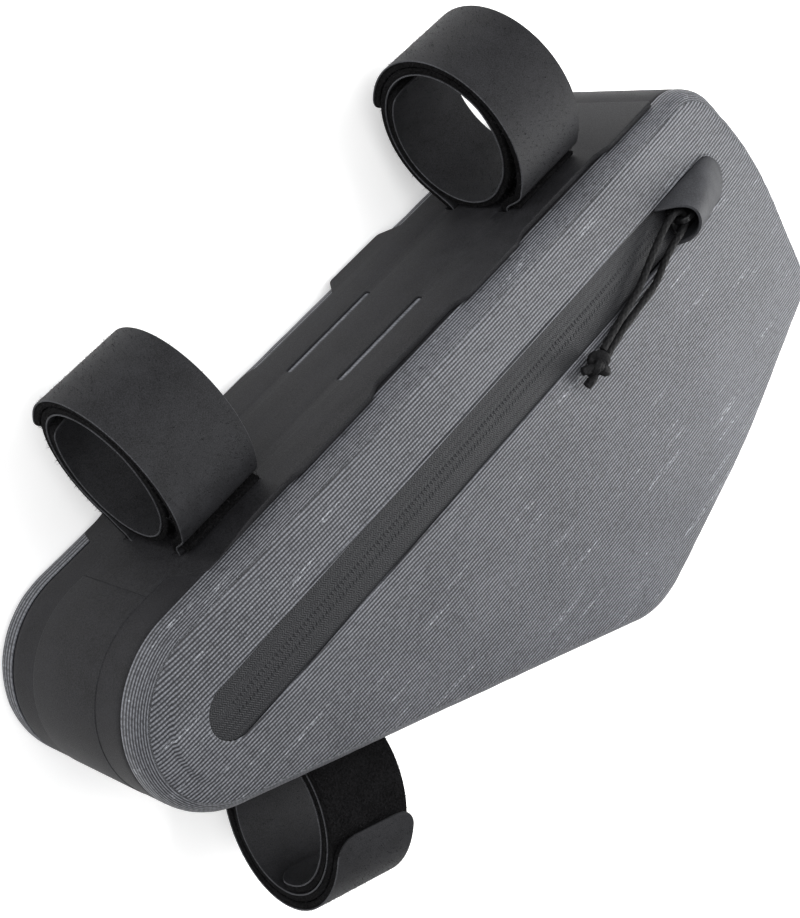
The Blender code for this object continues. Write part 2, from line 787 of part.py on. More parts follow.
def build():
    for old in list(bpy.data.objects):
        bpy.data.objects.remove(old, do_unlink=True)
    grey = material("grey_fabric", (0.25, 0.26, 0.28), 0.55)
    black = material("black_rubber", (0.035, 0.035, 0.038), 0.6)
    side_panels(grey)
    gusset_band(material("black_band", (0.05, 0.05, 0.055), 0.55))
    harness(black)
    nose_strip(black)
    bottom_anchor(material("black_anchor", (0.035, 0.035, 0.038), 0.6))
    for name in STRAPS:
        strap(name, material(name, (0.03, 0.03, 0.033), 0.65))
    zip_tape(material("black_tape", (0.03, 0.03, 0.032), 0.5))
    zip_garage(material("garage_rubber", (0.06, 0.06, 0.065), 0.5))
    zip_slider(material("slider_black", (0.02, 0.02, 0.02), 0.35))
    pull_cord(material("black_cord", (0.015, 0.015, 0.017), 0.8))
    cord_knot(material("black_knot", (0.015, 0.015, 0.017), 0.8))


build()
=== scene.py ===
# Looks for the frame bag: ribbed grey panels, black band, rubbery harness, looped straps, zip and cord.
import math

import bmesh
import bpy
import numpy as np
from mathutils import Matrix, Vector, noise


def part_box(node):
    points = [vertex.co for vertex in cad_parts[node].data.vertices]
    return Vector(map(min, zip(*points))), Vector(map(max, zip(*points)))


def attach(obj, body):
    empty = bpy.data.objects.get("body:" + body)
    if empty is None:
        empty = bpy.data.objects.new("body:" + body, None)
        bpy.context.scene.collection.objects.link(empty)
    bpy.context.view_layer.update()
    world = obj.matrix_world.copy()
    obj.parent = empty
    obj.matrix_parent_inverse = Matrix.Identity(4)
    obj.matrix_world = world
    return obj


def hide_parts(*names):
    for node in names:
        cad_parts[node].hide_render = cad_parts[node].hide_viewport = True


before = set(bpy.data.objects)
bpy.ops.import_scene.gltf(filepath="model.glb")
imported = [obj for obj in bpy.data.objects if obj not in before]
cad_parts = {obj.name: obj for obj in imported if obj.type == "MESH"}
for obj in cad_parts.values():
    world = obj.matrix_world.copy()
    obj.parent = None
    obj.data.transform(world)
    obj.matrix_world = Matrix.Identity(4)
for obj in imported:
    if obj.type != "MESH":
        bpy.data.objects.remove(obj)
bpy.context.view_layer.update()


# Helpers

def addNode(tree, kind, props=None, inputs=None):
    made = tree.nodes.new(kind)
    for key, value in (props or {}).items():
        setattr(made, key, value)
    for key, value in (inputs or {}).items():
        if isinstance(value, bpy.types.NodeSocket):
            tree.links.new(value, made.inputs[key])
        else:
            made.inputs[key].default_value = value
    return made


def calc(tree, operation, first, second=0.0, third=0.0):
    inputs = {0: first, 1: second}
    if operation in ("MULTIPLY_ADD", "PINGPONG", "WRAP", "COMPARE", "SMOOTH_MIN", "SMOOTH_MAX"):
        inputs[2] = third
    return addNode(tree, "ShaderNodeMath", {"operation": operation}, inputs).outputs[0]


def startMaterial(name, roughness, metallic=0.0, specular=0.5):
    made = bpy.data.materials.new(name)
    made.use_nodes = True
    tree = made.node_tree
    shader = tree.nodes["Principled BSDF"]
    shader.inputs["Roughness"].default_value = roughness
    shader.inputs["Metallic"].default_value = metallic
    shader.inputs["Specular IOR Level"].default_value = specular
    return made, tree, shader


def objectSpot(tree, scale=(1, 1, 1)):
    spot = addNode(tree, "ShaderNodeTexCoord").outputs["Object"]
    return addNode(tree, "ShaderNodeMapping", None, {"Vector": spot, "Scale": scale}).outputs[0]


def noiseValue(tree, spot, scale, detail=2.0, roughness=0.5):
    made = addNode(tree, "ShaderNodeTexNoise", None, {
        "Vector": spot, "Scale": scale, "Detail": detail, "Roughness": roughness})
    return made.outputs["Fac"]


def rampValue(tree, value, low, high):
    made = addNode(tree, "ShaderNodeMapRange", {"interpolation_type": "SMOOTHSTEP"}, {
        "Value": value, "From Min": low, "From Max": high})
    return made.outputs["Result"]


def mixColour(tree, share, first, second):
    made = addNode(tree, "ShaderNodeMix", {"data_type": "RGBA"})
    for key, value in ((0, share), (6, first), (7, second)):
        if isinstance(value, bpy.types.NodeSocket):
            tree.links.new(value, made.inputs[key])
        else:
            made.inputs[key].default_value = value if key == 0 else (*value, 1.0)
    return made.outputs[2]


def addBump(tree, shader, height, distance, strength=1.0):
    made = addNode(tree, "ShaderNodeBump", None, {
        "Height": height, "Distance": distance, "Strength": strength})
    tree.links.new(made.outputs[0], shader.inputs["Normal"])


def linkObject(name, data):
    made = bpy.data.objects.new(name, data)
    bpy.context.scene.collection.objects.link(made)
    return made


def evaluatedMesh(piece):
    return bpy.data.meshes.new_from_object(piece.evaluated_get(bpy.context.evaluated_depsgraph_get()))


def cleanMesh(mesh, look, smoothAngle, mergeDistance=0.000002):
    work = bmesh.new()
    work.from_mesh(mesh)
    bmesh.ops.remove_doubles(work, verts=work.verts, dist=mergeDistance)
    bmesh.ops.recalc_face_normals(work, faces=work.faces)
    work.to_mesh(mesh)
    work.free()
    mesh.shade_smooth()
    mesh.set_sharp_from_angle(angle=math.radians(smoothAngle))
    mesh.materials.clear()
    mesh.materials.append(look)


def meshPiece(name, vertices, faces, look, smoothAngle=50):
    mesh = bpy.data.meshes.new(name)
    mesh.from_pydata([tuple(v) for v in vertices], [], faces)
    cleanMesh(mesh, look, smoothAngle)
    return linkObject(name, mesh)


def ringFaces(first, second, count, closed=True):
    # Quads between two rings of equal length, by the index of their first points.
    faces = []
    for index in range(count if closed else count - 1):
        nxt = (index + 1) % count
        faces.append((first + index, first + nxt, second + nxt, second + index))
    return faces


def loftPiece(name, rings, look, caps=True, smoothAngle=50):
    # Quads between rings of equal length, with a fan at each end.
    count = len(rings[0])
    vertices = [point for ring in rings for point in ring]
    faces = []
    for row in range(len(rings) - 1):
        faces += ringFaces(row * count, (row + 1) * count, count)
    if caps:
        for row in (0, len(rings) - 1):
            centre = sum((Vector(p) for p in rings[row]), Vector()) / count
            vertices.append(centre)
            for index in range(count):
                faces.append((row * count + index, row * count + (index + 1) % count, len(vertices) - 1))
    return meshPiece(name, vertices, faces, look, smoothAngle)


def finishPiece(piece, slotName, *nodes):
    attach(piece, "root")
    if nodes:
        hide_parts(*nodes)
    return piece


def bakeTree(piece, name):
    # The evaluated object as a plain mesh of its own, without the modifier.
    mesh = evaluatedMesh(piece)
    mesh.name = name
    return linkObject(name, mesh)


def setInput(modifier, label, value):
    for item in modifier.node_group.interface.items_tree:
        if item.in_out == "INPUT" and item.name == label:
            modifier[item.identifier] = value


def startTree(name, label, default):
    # A node group with a geometry in and out, and one number.
    tree = bpy.data.node_groups.new(name, "GeometryNodeTree")
    tree.interface.new_socket("Geometry", in_out="INPUT", socket_type="NodeSocketGeometry")
    tree.interface.new_socket(label, in_out="INPUT", socket_type="NodeSocketFloat").default_value = default
    tree.interface.new_socket("Geometry", in_out="OUTPUT", socket_type="NodeSocketGeometry")
    return tree, addNode(tree, "NodeGroupInput")


def finishTree(tree, copies, look):
    real = addNode(tree, "GeometryNodeRealizeInstances", None, {0: copies.outputs[0]})
    paint = addNode(tree, "GeometryNodeSetMaterial", None, {0: real.outputs[0], "Material": look})
    sink = addNode(tree, "NodeGroupOutput")
    tree.links.new(paint.outputs[0], sink.inputs[0])
    return tree


def catmull(points, share):
    # A point on a smooth curve through the points, by share of their count.
    last = len(points) - 1
    spot = min(max(share * last, 0.0), last)
    index = min(int(spot), last - 1)
    t = spot - index
    a, b = points[max(index - 1, 0)], points[index]
    c, d = points[index + 1], points[min(index + 2, last)]
    square, cube = 2 * a - 5 * b + 4 * c - d, 3 * b - a - 3 * c + d
    return 0.5 * (2 * b + (c - a) * t + square * t * t + cube * t ** 3)


# The bag's own outline

bag = {
    "length": 0.2930,
    "height": 0.1385,
    "bandWidth": 0.0530,
    "wall": 0.0018,
    "shoulderWidth": 0.0090,
    "shoulderRise": 0.0080,
    "crown": 0.0015,
    "crownReach": 0.0450,
    "noseRadius": 0.0300,
    "originS": 0.15529,
    "originD": 0.06648,
    "gap": 0.0003,
    "corners": ((0.938, 0.000, 0.140), (0.995, 0.290, 0.900), (1.008, 0.700, 0.110),
                (0.812, 0.882, 1.400), (0.588, 1.014, 0.235)),
    "cornerSteps": (72, 26, 18, 24, 18, 34),
    "sideSteps": (80, 22, 10, 26, 12, 56),
    "shoulder": ((0.00, 0.00), (0.02, 0.30), (0.13, 0.62), (0.38, 0.87), (0.70, 0.97), (1.00, 1.00)),
    "backShoulder": ((0.00, 0.00), (0.00, 0.40), (0.05, 0.72), (0.25, 0.92), (0.62, 0.985), (1.00, 1.00)),
}
midHeight = bag["shoulderRise"] + bag["bandWidth"] / 2
faceHeight = midHeight + bag["bandWidth"] / 2 + bag["shoulderRise"]


def place(s, d):
    # s from the nose tip along +X, d down from the top edge.
    return Vector((s - bag["originS"], bag["originD"] - d))


def bagCorners():
    radius = bag["noseRadius"]
    centre = Vector((radius, radius))
    shareS, shareD, _ = bag["corners"][-1]
    bottom = Vector((shareS * bag["length"], shareD * bag["height"]))
    reach = centre - bottom
    heading = math.atan2(reach.y, reach.x) - math.asin(radius / reach.length)
    direction = Vector((math.cos(heading), math.sin(heading)))
    corners = [(bottom + direction * (-bottom.y / direction.y), radius)]
    for shareS, shareD, shareRadius in bag["corners"]:
        corner = Vector((shareS * bag["length"], shareD * bag["height"]))
        corners.append((corner, shareRadius * bag["height"]))
    return corners


corners = bagCorners()


def outline(inset):
    # The rounded outline moved inwards, always with the same number of points.
    count = len(corners)
    middle = sum((point for point, _ in corners), Vector((0, 0))) / count
    lines = []
    for index in range(count):
        start = corners[index][0]
        along = (corners[(index + 1) % count][0] - start).normalized()
        inward = Vector((-along.y, along.x))
        if inward.dot(middle - start) < 0:
            inward = -inward
        lines.append((start + inward * inset, along))
    arcs = []
    for index in range(count):
        before, alongBefore = lines[index - 1]
        after, alongAfter = lines[index]
        turn = alongBefore.x * alongAfter.y - alongBefore.y * alongAfter.x
        offset = after - before
        corner = before + alongBefore * ((offset.x * alongAfter.y - offset.y * alongAfter.x) / turn)
        angle = alongBefore.angle_signed(alongAfter)
        radius = max(corners[index][1] - inset, 0.001)
        first = corner - alongBefore * (radius * abs(math.tan(angle / 2)))
        centre = first + Vector((-alongBefore.y, alongBefore.x)) * math.copysign(radius, turn)
        arc = []
        for step in range(bag["cornerSteps"][index] + 1):
            swing = -angle * step / bag["cornerSteps"][index]
            spoke = first - centre
            arc.append(centre + Vector((
                spoke.x * math.cos(swing) - spoke.y * math.sin(swing),
                spoke.x * math.sin(swing) + spoke.y * math.cos(swing))))
        arcs.append(arc)
    points = []
    for index in range(count):
        following = arcs[(index + 1) % count][0]
        points.extend(arcs[index])
        for step in range(1, bag["sideSteps"][index]):
            points.append(arcs[index][-1].lerp(following, step / bag["sideSteps"][index]))
    return [place(point.x, point.y) for point in points]


def sideDistance(point):
    nearest = bag["height"]
    for index in range(len(corners)):
        start = place(*corners[index][0])
        along = (place(*corners[(index + 1) % len(corners)][0]) - start).normalized()
        offset = point - start
        nearest = min(nearest, abs(along.x * offset.y - along.y * offset.x))
    return nearest


def crownAt(point):
    share = (sideDistance(point) - bag["shoulderWidth"]) / (bag["crownReach"] - bag["shoulderWidth"])
    return bag["crown"] * (1 - (1 - min(max(share, 0.0), 1.0)) ** 2)


def faceAt(s, d):
    return faceHeight + crownAt(place(s, d))


def lowerEdge():
    tip, end = place(*corners[0][0]), place(*corners[-1][0])
    along = (end - tip).normalized()
    return tip + along * (bag["noseRadius"] / math.tan(math.acos(along.x) / 2)), end, along


def edgeFrame(edge, share):
    # X along the edge, Y across the bag's width, Z outwards.
    if edge == "top":
        along, outward = Vector((1, 0)), Vector((0, 1))
        origin = place(share * bag["length"], 0)
    else:
        start, end, along = lowerEdge()
        outward = Vector((along.y, -along.x))
        origin = start.lerp(end, share)
    return Matrix(((along.x, 0, outward.x, origin.x), (along.y, 0, outward.y, origin.y),
                   (0, 1, 0, midHeight), (0, 0, 0, 1)))


# Camera

view = {
    "location": (-0.24949, 0.29418, 0.39720),
    "right": (0.60594, -0.41512, 0.67861),
    "down": (-0.66070, -0.73773, 0.13866),
    "forward": (0.44307, -0.53238, -0.72129),
    "lens": 65.26,
    "shift": (0.00736, 0.00407),
}


def makeCamera():
    data = bpy.data.cameras.new("photoCamera")
    data.lens = view["lens"]
    data.sensor_width = 36.0
    data.shift_x, data.shift_y = view["shift"]
    data.clip_start, data.clip_end = 0.01, 20.0
    camera = linkObject("photoCamera", data)
    turn = Matrix((view["right"], [-v for v in view["down"]], [-v for v in view["forward"]])).transposed()
    camera.matrix_world = Matrix.Translation(view["location"]) @ turn.to_4x4()
    bpy.context.scene.camera = camera


makeCamera()
print("camera placed")


# Materials

ribbed = {
    "pitch": 0.00110,        # one rib of the woven panel
    "threadPitch": 0.00100,  # the threads across the ribs
    "bow": 0.0026,           # how far the ribs sag in the middle of the panel
    "bowMiddle": -0.004,
    "bowReach": 0.120,
    "wander": 0.0005,
    "borderWidth": 0.0075,   # along the surface, from the seam
    "borderLines": 1.45,     # the border's lines are closer than the ribs
    # painted shade: the groove colour is the cloth's grey as it looks in the shade between the ribs
    "grooveShade": (0.013, 0.0135, 0.0165),
    "crest": (0.178, 0.184, 0.204),
    "fleck": (0.50, 0.52, 0.56),
    "depth": 0.00020,
}


def waveValue(tree, value, pitch):
    turned = calc(tree, "SINE", calc(tree, "MULTIPLY", value, 2 * math.pi / pitch))
    return calc(tree, "MULTIPLY_ADD", turned, 0.5, 0.5)


def ribbedFabric(name):
    made, tree, shader = startMaterial(name, 0.58, specular=0.32)
    spot = addNode(tree, "ShaderNodeTexCoord").outputs["Object"]
    parts = addNode(tree, "ShaderNodeSeparateXYZ", None, {0: spot})
    x, y = parts.outputs[0], parts.outputs[1]
    inset = addNode(tree, "ShaderNodeAttribute", {"attribute_name": "edgeInset"}).outputs["Fac"]
    away = calc(tree, "DIVIDE", calc(tree, "SUBTRACT", x, ribbed["bowMiddle"]), ribbed["bowReach"])
    sagged = calc(tree, "SUBTRACT", 1.0, calc(tree, "MULTIPLY", away, away))
    bow = calc(tree, "MULTIPLY", sagged, ribbed["bow"])
    wander = noiseValue(tree, objectSpot(tree, (14, 60, 14)), 1.0, 2.0)
    wandered = calc(tree, "MULTIPLY_ADD", wander, ribbed["wander"], calc(tree, "ADD", y, bow))
    onFace = rampValue(tree, inset, ribbed["borderWidth"] - 0.0003, ribbed["borderWidth"] + 0.0003)
    border = calc(tree, "MULTIPLY", inset, ribbed["borderLines"])
    beyond = calc(tree, "SUBTRACT", wandered, border)
    line = calc(tree, "ADD", border, calc(tree, "MULTIPLY", beyond, onFace))
    rib = waveValue(tree, line, ribbed["pitch"])
    broken = noiseValue(tree, objectSpot(tree, (420, 1500, 700)), 1.0, 2.0, 0.6)
    whole = calc(tree, "MULTIPLY_ADD", rampValue(tree, broken, 0.25, 0.6), 0.45, 0.55)
    rib = calc(tree, "MULTIPLY", rib, whole)
    thread = waveValue(tree, calc(tree, "MULTIPLY_ADD", wander, 0.002, x), ribbed["threadPitch"])
    crossed = calc(tree, "MULTIPLY", thread, rib)
    weave = calc(tree, "MULTIPLY_ADD", crossed, 0.34, calc(tree, "MULTIPLY", rib, 0.66))
    patches = noiseValue(tree, objectSpot(tree, (22, 34, 22)), 1.0, 4.0, 0.6)
    speckle = noiseValue(tree, spot, 1700.0, 2.0, 0.7)
    drift = calc(tree, "MULTIPLY_ADD", patches, 0.34, calc(tree, "MULTIPLY", speckle, 0.5))
    tone = calc(tree, "ADD", weave, calc(tree, "SUBTRACT", drift, 0.42))
    # Painted shade and light: the weave's grooves get the dark groove colour and its crests the lit grey, on
    # top of the bump from the same weave; patches and speckle vary the tone at random.
    colour = mixColour(tree, rampValue(tree, tone, -0.04, 0.98), ribbed["grooveShade"], ribbed["crest"])
    streak = rampValue(tree, noiseValue(tree, objectSpot(tree, (30, 330, 330)), 1.0, 1.0), 0.64, 0.72)
    dash = rampValue(tree, noiseValue(tree, objectSpot(tree, (760, 1900, 900)), 1.0, 2.0, 0.7), 0.50, 0.62)
    lone = rampValue(tree, noiseValue(tree, objectSpot(tree, (480, 1700, 900)), 1.0, 2.0, 0.6), 0.69, 0.77)
    edgeLine = calc(tree, "COMPARE", inset, ribbed["borderWidth"], 0.0003)
    flecks = calc(tree, "MAXIMUM", calc(tree, "MULTIPLY", streak, dash), calc(tree, "MULTIPLY", lone, 0.5))
    atEdge = calc(tree, "MULTIPLY", edgeLine, dash)
    flecks = calc(tree, "MAXIMUM", flecks, calc(tree, "MULTIPLY", atEdge, 0.45))
    # the flecks are painted dimmer in the shaded grooves and brighter on the lit crests
    flecks = calc(tree, "MULTIPLY", flecks, calc(tree, "MULTIPLY_ADD", rib, 0.45, 0.15))
    colour = mixColour(tree, flecks, colour, ribbed["fleck"])
    tree.links.new(colour, shader.inputs["Base Color"])
    height = calc(tree, "MULTIPLY_ADD", speckle, 0.25, weave)
    addBump(tree, shader, height, ribbed["depth"])
    return made


def coatedFabric(name, colour, grainScale=1500.0, roughness=0.6, depth=0.00006, spread=0.55, specular=0.14):
    # Smooth coated cloth: a fine grain with faint mottling.
    made, tree, shader = startMaterial(name, roughness, specular=specular)
    spot = addNode(tree, "ShaderNodeTexCoord").outputs["Object"]
    grain = noiseValue(tree, spot, grainScale, 3.0, 0.7)
    mottle = noiseValue(tree, spot, 120.0, 3.0, 0.6)
    tone = calc(tree, "MULTIPLY_ADD", mottle, 0.25, calc(tree, "MULTIPLY", grain, 0.75))
    dark = tuple(v * (1 - spread) for v in colour)
    light = tuple(v * (1 + spread) for v in colour)
    shade = mixColour(tree, rampValue(tree, tone, 0.34, 0.66), dark, light)
    tree.links.new(shade, shader.inputs["Base Color"])
    tree.links.new(calc(tree, "MULTIPLY_ADD", mottle, 0.16, roughness - 0.08), shader.inputs["Roughness"])
    addBump(tree, shader, grain, depth)
    return made


looks = {
    "panel": ribbedFabric("greyRibbedFabric"),
    "band": coatedFabric("bandCloth", (0.0135, 0.0134, 0.0152), 2800.0),
    "harness": coatedFabric("harnessCoating", (0.0145, 0.0145, 0.0162), 2800.0),
    "strap": coatedFabric("strapCoating", (0.0160, 0.0162, 0.0180), 3200.0, 0.62, 0.00007, 0.5),
    "strapEdge": coatedFabric("strapEdge", (0.050, 0.051, 0.056), 2600.0, 0.7, 0.00004, 0.5),
    "fibre": coatedFabric("strapFibre", (0.0150, 0.0148, 0.0160), 900.0, 0.9, 0.00002, 0.9, 0.05),
    "pile": coatedFabric("strapPile", (0.0050, 0.0049, 0.0053), 1500.0, 0.95, 0.0005, 0.7, 0.05),
    "hood": coatedFabric("hoodRubber", (0.034, 0.035, 0.039), 2200.0, 0.55, 0.00004, 0.35, 0.2),
    "cord": coatedFabric("cordBraid", (0.0060, 0.0060, 0.0066), 1800.0, 0.7, 0.00010, 0.8, 0.16),
}


def zipCloth():
    # Herringbone cloth of the zip's tape.
    made, tree, shader = startMaterial("zipTapeCloth", 0.52, specular=0.14)
    spot = addNode(tree, "ShaderNodeTexCoord").outputs["Object"]
    parts = addNode(tree, "ShaderNodeSeparateXYZ", None, {0: spot})
    x, y = parts.outputs[0], parts.outputs[1]
    zigzag = calc(tree, "PINGPONG", calc(tree, "ADD", y, 1.0), 0.00105)
    slanted = calc(tree, "ADD", x, calc(tree, "MULTIPLY", zigzag, 0.9))
    wave = calc(tree, "SINE", calc(tree, "MULTIPLY", slanted, 2 * math.pi / 0.00072))
    twill = calc(tree, "MULTIPLY_ADD", wave, 0.5, 0.5)
    grain = noiseValue(tree, spot, 2400.0, 2.0)
    tone = calc(tree, "MULTIPLY_ADD", grain, 0.6, calc(tree, "MULTIPLY", twill, 0.55))
    shade = mixColour(tree, rampValue(tree, tone, 0.1, 0.95), (0.008, 0.008, 0.009), (0.034, 0.035, 0.038))
    tree.links.new(shade, shader.inputs["Base Color"])
    addBump(tree, shader, tone, 0.00016)
    return made


def enamel():
    made, tree, shader = startMaterial("sliderEnamel", 0.32, metallic=0.6)
    spot = addNode(tree, "ShaderNodeTexCoord").outputs["Object"]
    wear = rampValue(tree, noiseValue(tree, spot, 900.0, 4.0, 0.7), 0.45, 0.75)
    shade = mixColour(tree, wear, (0.012, 0.012, 0.013), (0.05, 0.05, 0.052))
    tree.links.new(shade, shader.inputs["Base Color"])
    tree.links.new(calc(tree, "MULTIPLY_ADD", wear, 0.25, 0.28), shader.inputs["Roughness"])
    addBump(tree, shader, wear, 0.00002)
    return made


looks["tape"] = zipCloth()
looks["enamel"] = enamel()
print("materials made")


# Side panels

panel = {
    "shoulderRings": 16,
    "faceRings": 16,
    "centreRings": 14,
    "sag": 0.00045,        # soft unevenness of the cloth
    "backSag": 0.0002,
    "sagScale": 26.0,
    "pucker": 0.00022,     # small waves beside the seam
    "puckerScale": 150.0,
}

zipper = {
    "width": 0.0170,
    "length": 0.2485,
    "start": 0.0200,
    "depth": 0.0300,
    "tapeThickness": 0.0012,
    "tapeRecess": 0.0007,
    "rimRadius": 0.00042,
    "sink": 0.0014,
    "sinkFrom": 0.1900,
    "sinkReach": 0.0460,
    "toothPitch": 0.00144,
    "toothHalfLength": 0.00095,
    "toothHalfWidth": 0.00042,
    "toothRise": 0.00024,
    "toothLift": 0.00012,      # over the tape
    "toothSteps": 160,
    "ridge": 0.00028,          # the coil's bulge along the tape
    "ridgeReach": 0.0022,
    "rowSpacing": 0.0023,
}


def shoulderPoints(section, wall):
    outer = [Vector((a * bag["shoulderWidth"], b * bag["shoulderRise"])) for a, b in bag[section]]
    fine = [catmull(outer, step / panel["shoulderRings"]) for step in range(panel["shoulderRings"] + 1)]
    fine = [Vector((max(p.x, 0.0), p.y)) for p in fine]
    if not wall:
        return fine
    moved = [Vector((fine[0].x + wall, fine[0].y))]
    for index in range(1, len(fine)):
        along = (fine[min(index + 1, len(fine) - 1)] - fine[index - 1]).normalized()
        moved.append(Vector((fine[index].x + along.y * wall, fine[index].y - along.x * wall)))
    return moved


def panelRings(wall, seed, crowned):
    rings = []
    for point in shoulderPoints("shoulder" if crowned else "backShoulder", wall):
        rings.append([Vector((p.x, p.y, point.y)) for p in outline(point.x)])
    for step in range(1, panel["faceRings"] + 1):
        room = 0.7 * (bag["noseRadius"] - bag["shoulderWidth"])
        inset = bag["shoulderWidth"] + room * step / panel["faceRings"]
        rings.append([Vector((p.x, p.y, bag["shoulderRise"] - wall)) for p in outline(inset)])
    last = [p.copy() for p in rings[-1]]
    centre = sum(last, Vector()) / len(last)
    for step in range(1, panel["centreRings"]):
        share = 1 - step / panel["centreRings"]
        rings.append([centre + (p - centre) * share for p in last])
    rings.append([centre.copy()])
    for index, ring in enumerate(rings):
        onFace = index > panel["shoulderRings"]
        fade = min(index / panel["shoulderRings"], 1.0)
        for p in ring:
            drift = Vector((p.x, p.y * 1.6, seed))
            if onFace and crowned:
                p.z += crownAt(p.xy)
            soft = panel["sag"] if crowned else panel["backSag"]
            p.z += fade * soft * (noise.noise(drift * panel["sagScale"]) - (0 if crowned else 1))
            p.z += fade * (1 - fade) * 4 * panel["pucker"] * noise.noise(drift * panel["puckerScale"])
            p.z = min(p.z, bag["shoulderRise"] - wall) if not crowned else p.z
    return rings


def makePanel(name, facing, seed):
    vertices, faces, rims = [], [], []
    for wall in (0, bag["wall"]):
        starts = []
        for ring in panelRings(wall, seed, facing > 0):
            starts.append(len(vertices))
            for p in ring:
                rise = bag["bandWidth"] / 2 + p.z
                vertices.append((p.x, p.y, midHeight + facing * rise))
        count = starts[1] - starts[0]
        rims.append(starts[0])
        for lower, upper in zip(starts[:-2], starts[1:-1]):
            faces += ringFaces(lower, upper, count)
        for index in range(count):
            faces.append((starts[-2] + index, starts[-2] + (index + 1) % count, starts[-1]))
    faces += ringFaces(rims[0], rims[1], count)
    return meshPiece(name, vertices, faces, looks["panel"], 60)


def stadium(inset, segments=48, steps=120):
    # The opening's outline in s and d, moved inwards.
    radius = zipper["width"] / 2 - inset
    left = zipper["start"] + zipper["width"] / 2
    right = zipper["start"] + zipper["length"] - zipper["width"] / 2
    points = []
    for centre, first, following in ((right, -90, left), (left, 90, right)):
        for step in range(segments + 1):
            angle = math.radians(first + 180 * step / segments)
            points.append((centre + radius * math.cos(angle), zipper["depth"] + radius * math.sin(angle)))
        for step in range(1, steps):
            points.append((centre + (following - centre) * step / steps, points[-1][1]))
    return points


def cutOpening(piece):
    low, high = midHeight + 0.02, faceHeight + 0.01
    flat = [place(s, d) for s, d in stadium(0)]
    rings = [[Vector((p.x, p.y, z)) for p in flat] for z in (low, high)]
    cutter = loftPiece("openingCutter", rings, looks["panel"])
    modifier = piece.modifiers.new("opening", "BOOLEAN")
    modifier.operation = "DIFFERENCE"
    modifier.solver = "EXACT"
    modifier.object = cutter
    mesh = evaluatedMesh(piece)
    piece.modifiers.clear()
    piece.data = mesh
    bpy.data.objects.remove(cutter)


def markInset(piece):
    # Distance from the seam along the surface, for the ribs of the rolled border.
    ring = np.array([tuple(p) for p in outline(0)])
    following = np.roll(ring, -1, axis=0)
    side = following - ring
    lengths = np.maximum((side ** 2).sum(1), 1e-12)
    co = np.zeros(len(piece.data.vertices) * 3, np.float32)
    piece.data.vertices.foreach_get("co", co)
    co = co.reshape(-1, 3)
    values = np.zeros(len(co), np.float32)
    for start in range(0, len(co), 2000):
        spots = co[start:start + 2000, None, :2]
        share = np.clip(((spots - ring) * side).sum(2) / lengths, 0, 1)
        nearest = ring + side * share[..., None]
        gapTo = np.sqrt(((spots - nearest) ** 2).sum(2)).min(1)
        drop = bag["shoulderRise"] + bag["bandWidth"] / 2 - np.abs(co[start:start + 2000, 2] - midHeight)
        values[start:start + 2000] = gapTo + np.clip(bag["shoulderRise"] - np.clip(drop, 0, 1), 0, 1) * 0.55
    attribute = piece.data.attributes.new("edgeInset", "FLOAT", "POINT")
    attribute.data.foreach_set("value", values)


def makeRim():
    # The rolled edge of the zip's opening.
    rings = []
    path = [(s, d) for s, d in stadium(-0.00005)]
    count = len(path)
    for index, (s, d) in enumerate(path):
        before, after = path[index - 1], path[(index + 1) % count]
        along = Vector((after[0] - before[0], after[1] - before[1])).normalized()
        across = Vector((along.y, -along.x))
        centre = place(s, d)
        height = faceAt(s, d) - 0.00018
        ring = []
        for step in range(8):
            angle = 2 * math.pi * step / 8
            reach = across * (zipper["rimRadius"] * math.cos(angle))
            ring.append(Vector((centre.x + reach.x, centre.y - reach.y,
                                height + 0.8 * zipper["rimRadius"] * math.sin(angle))))
        rings.append(ring)
    rings.append(rings[0])
    return loftPiece("zipOpeningRim", rings, looks["panel"], caps=False)


frontPanel = makePanel("sidePanelFront", 1, 3.1)
cutOpening(frontPanel)
markInset(frontPanel)
finishPiece(frontPanel, "grey_fabric_front", "side_panel_front")
backPanel = makePanel("sidePanelBack", -1, 7.7)
markInset(backPanel)
finishPiece(backPanel, "grey_fabric_back", "side_panel_back")
openingRim = makeRim()
markInset(openingRim)
finishPiece(openingRim, "grey_fabric_front")
print("side panels made")


# Band, harness, nose strip, anchor

band = {
    "rows": 24,
    "seamRoll": 0.0007,    # how far the band's edges dip into the seam
    "seamReach": 0.0016,
}


def makeBand():
    half = bag["bandWidth"] / 2 - bag["gap"]
    inner = outline(bag["wall"])
    rings = []
    for step in range(band["rows"] + 1):
        share = step / band["rows"]
        share = 0.5 - 0.5 * math.cos(math.pi * share)
        z = -half + 2 * half * share
        edge = min(half - abs(z), band["seamReach"]) / band["seamReach"]
        dip = band["seamRoll"] * (1 - math.sqrt(max(1 - (1 - edge) ** 2, 0)))
        rings.append([Vector((p.x, p.y, midHeight + z)) for p in outline(dip)])
    for z in (half, -half):
        rings.append([Vector((p.x, p.y, midHeight + z)) for p in inner])
    rings.append(rings[0])
    return loftPiece("gussetBand", rings, looks["band"], caps=False)


harness = {
    "thickness": 0.0017,
    "widths": {"strip": 0.0300, "first": 0.0540, "narrow": 0.0510, "wide": 0.0565, "rear": 0.0520},
    "edge": ((0.118, "strip", 0.0), (0.152, "first", 0.0040), (0.282, "wide", 0.0), (0.402, "narrow", 0.0),
             (0.538, "wide", 0.0038), (0.640, "rear", 0.0), (0.790, "wide", 0.0), (0.880, "wide", 0.0)),
    "thinEnd": (0.0480, 0.0700),   # where the sheet sinks into the band towards the nose
    "sunkRise": 0.00012,
    "slotLength": 0.0380,
    "slotWidth": 0.0027,
    "slotRadius": 0.0010,
    "slotSpacing": 0.0225,
    "slotStart": 0.1195,
    "cornerRadius": 0.0012,
    "bevel": 0.0003,
}

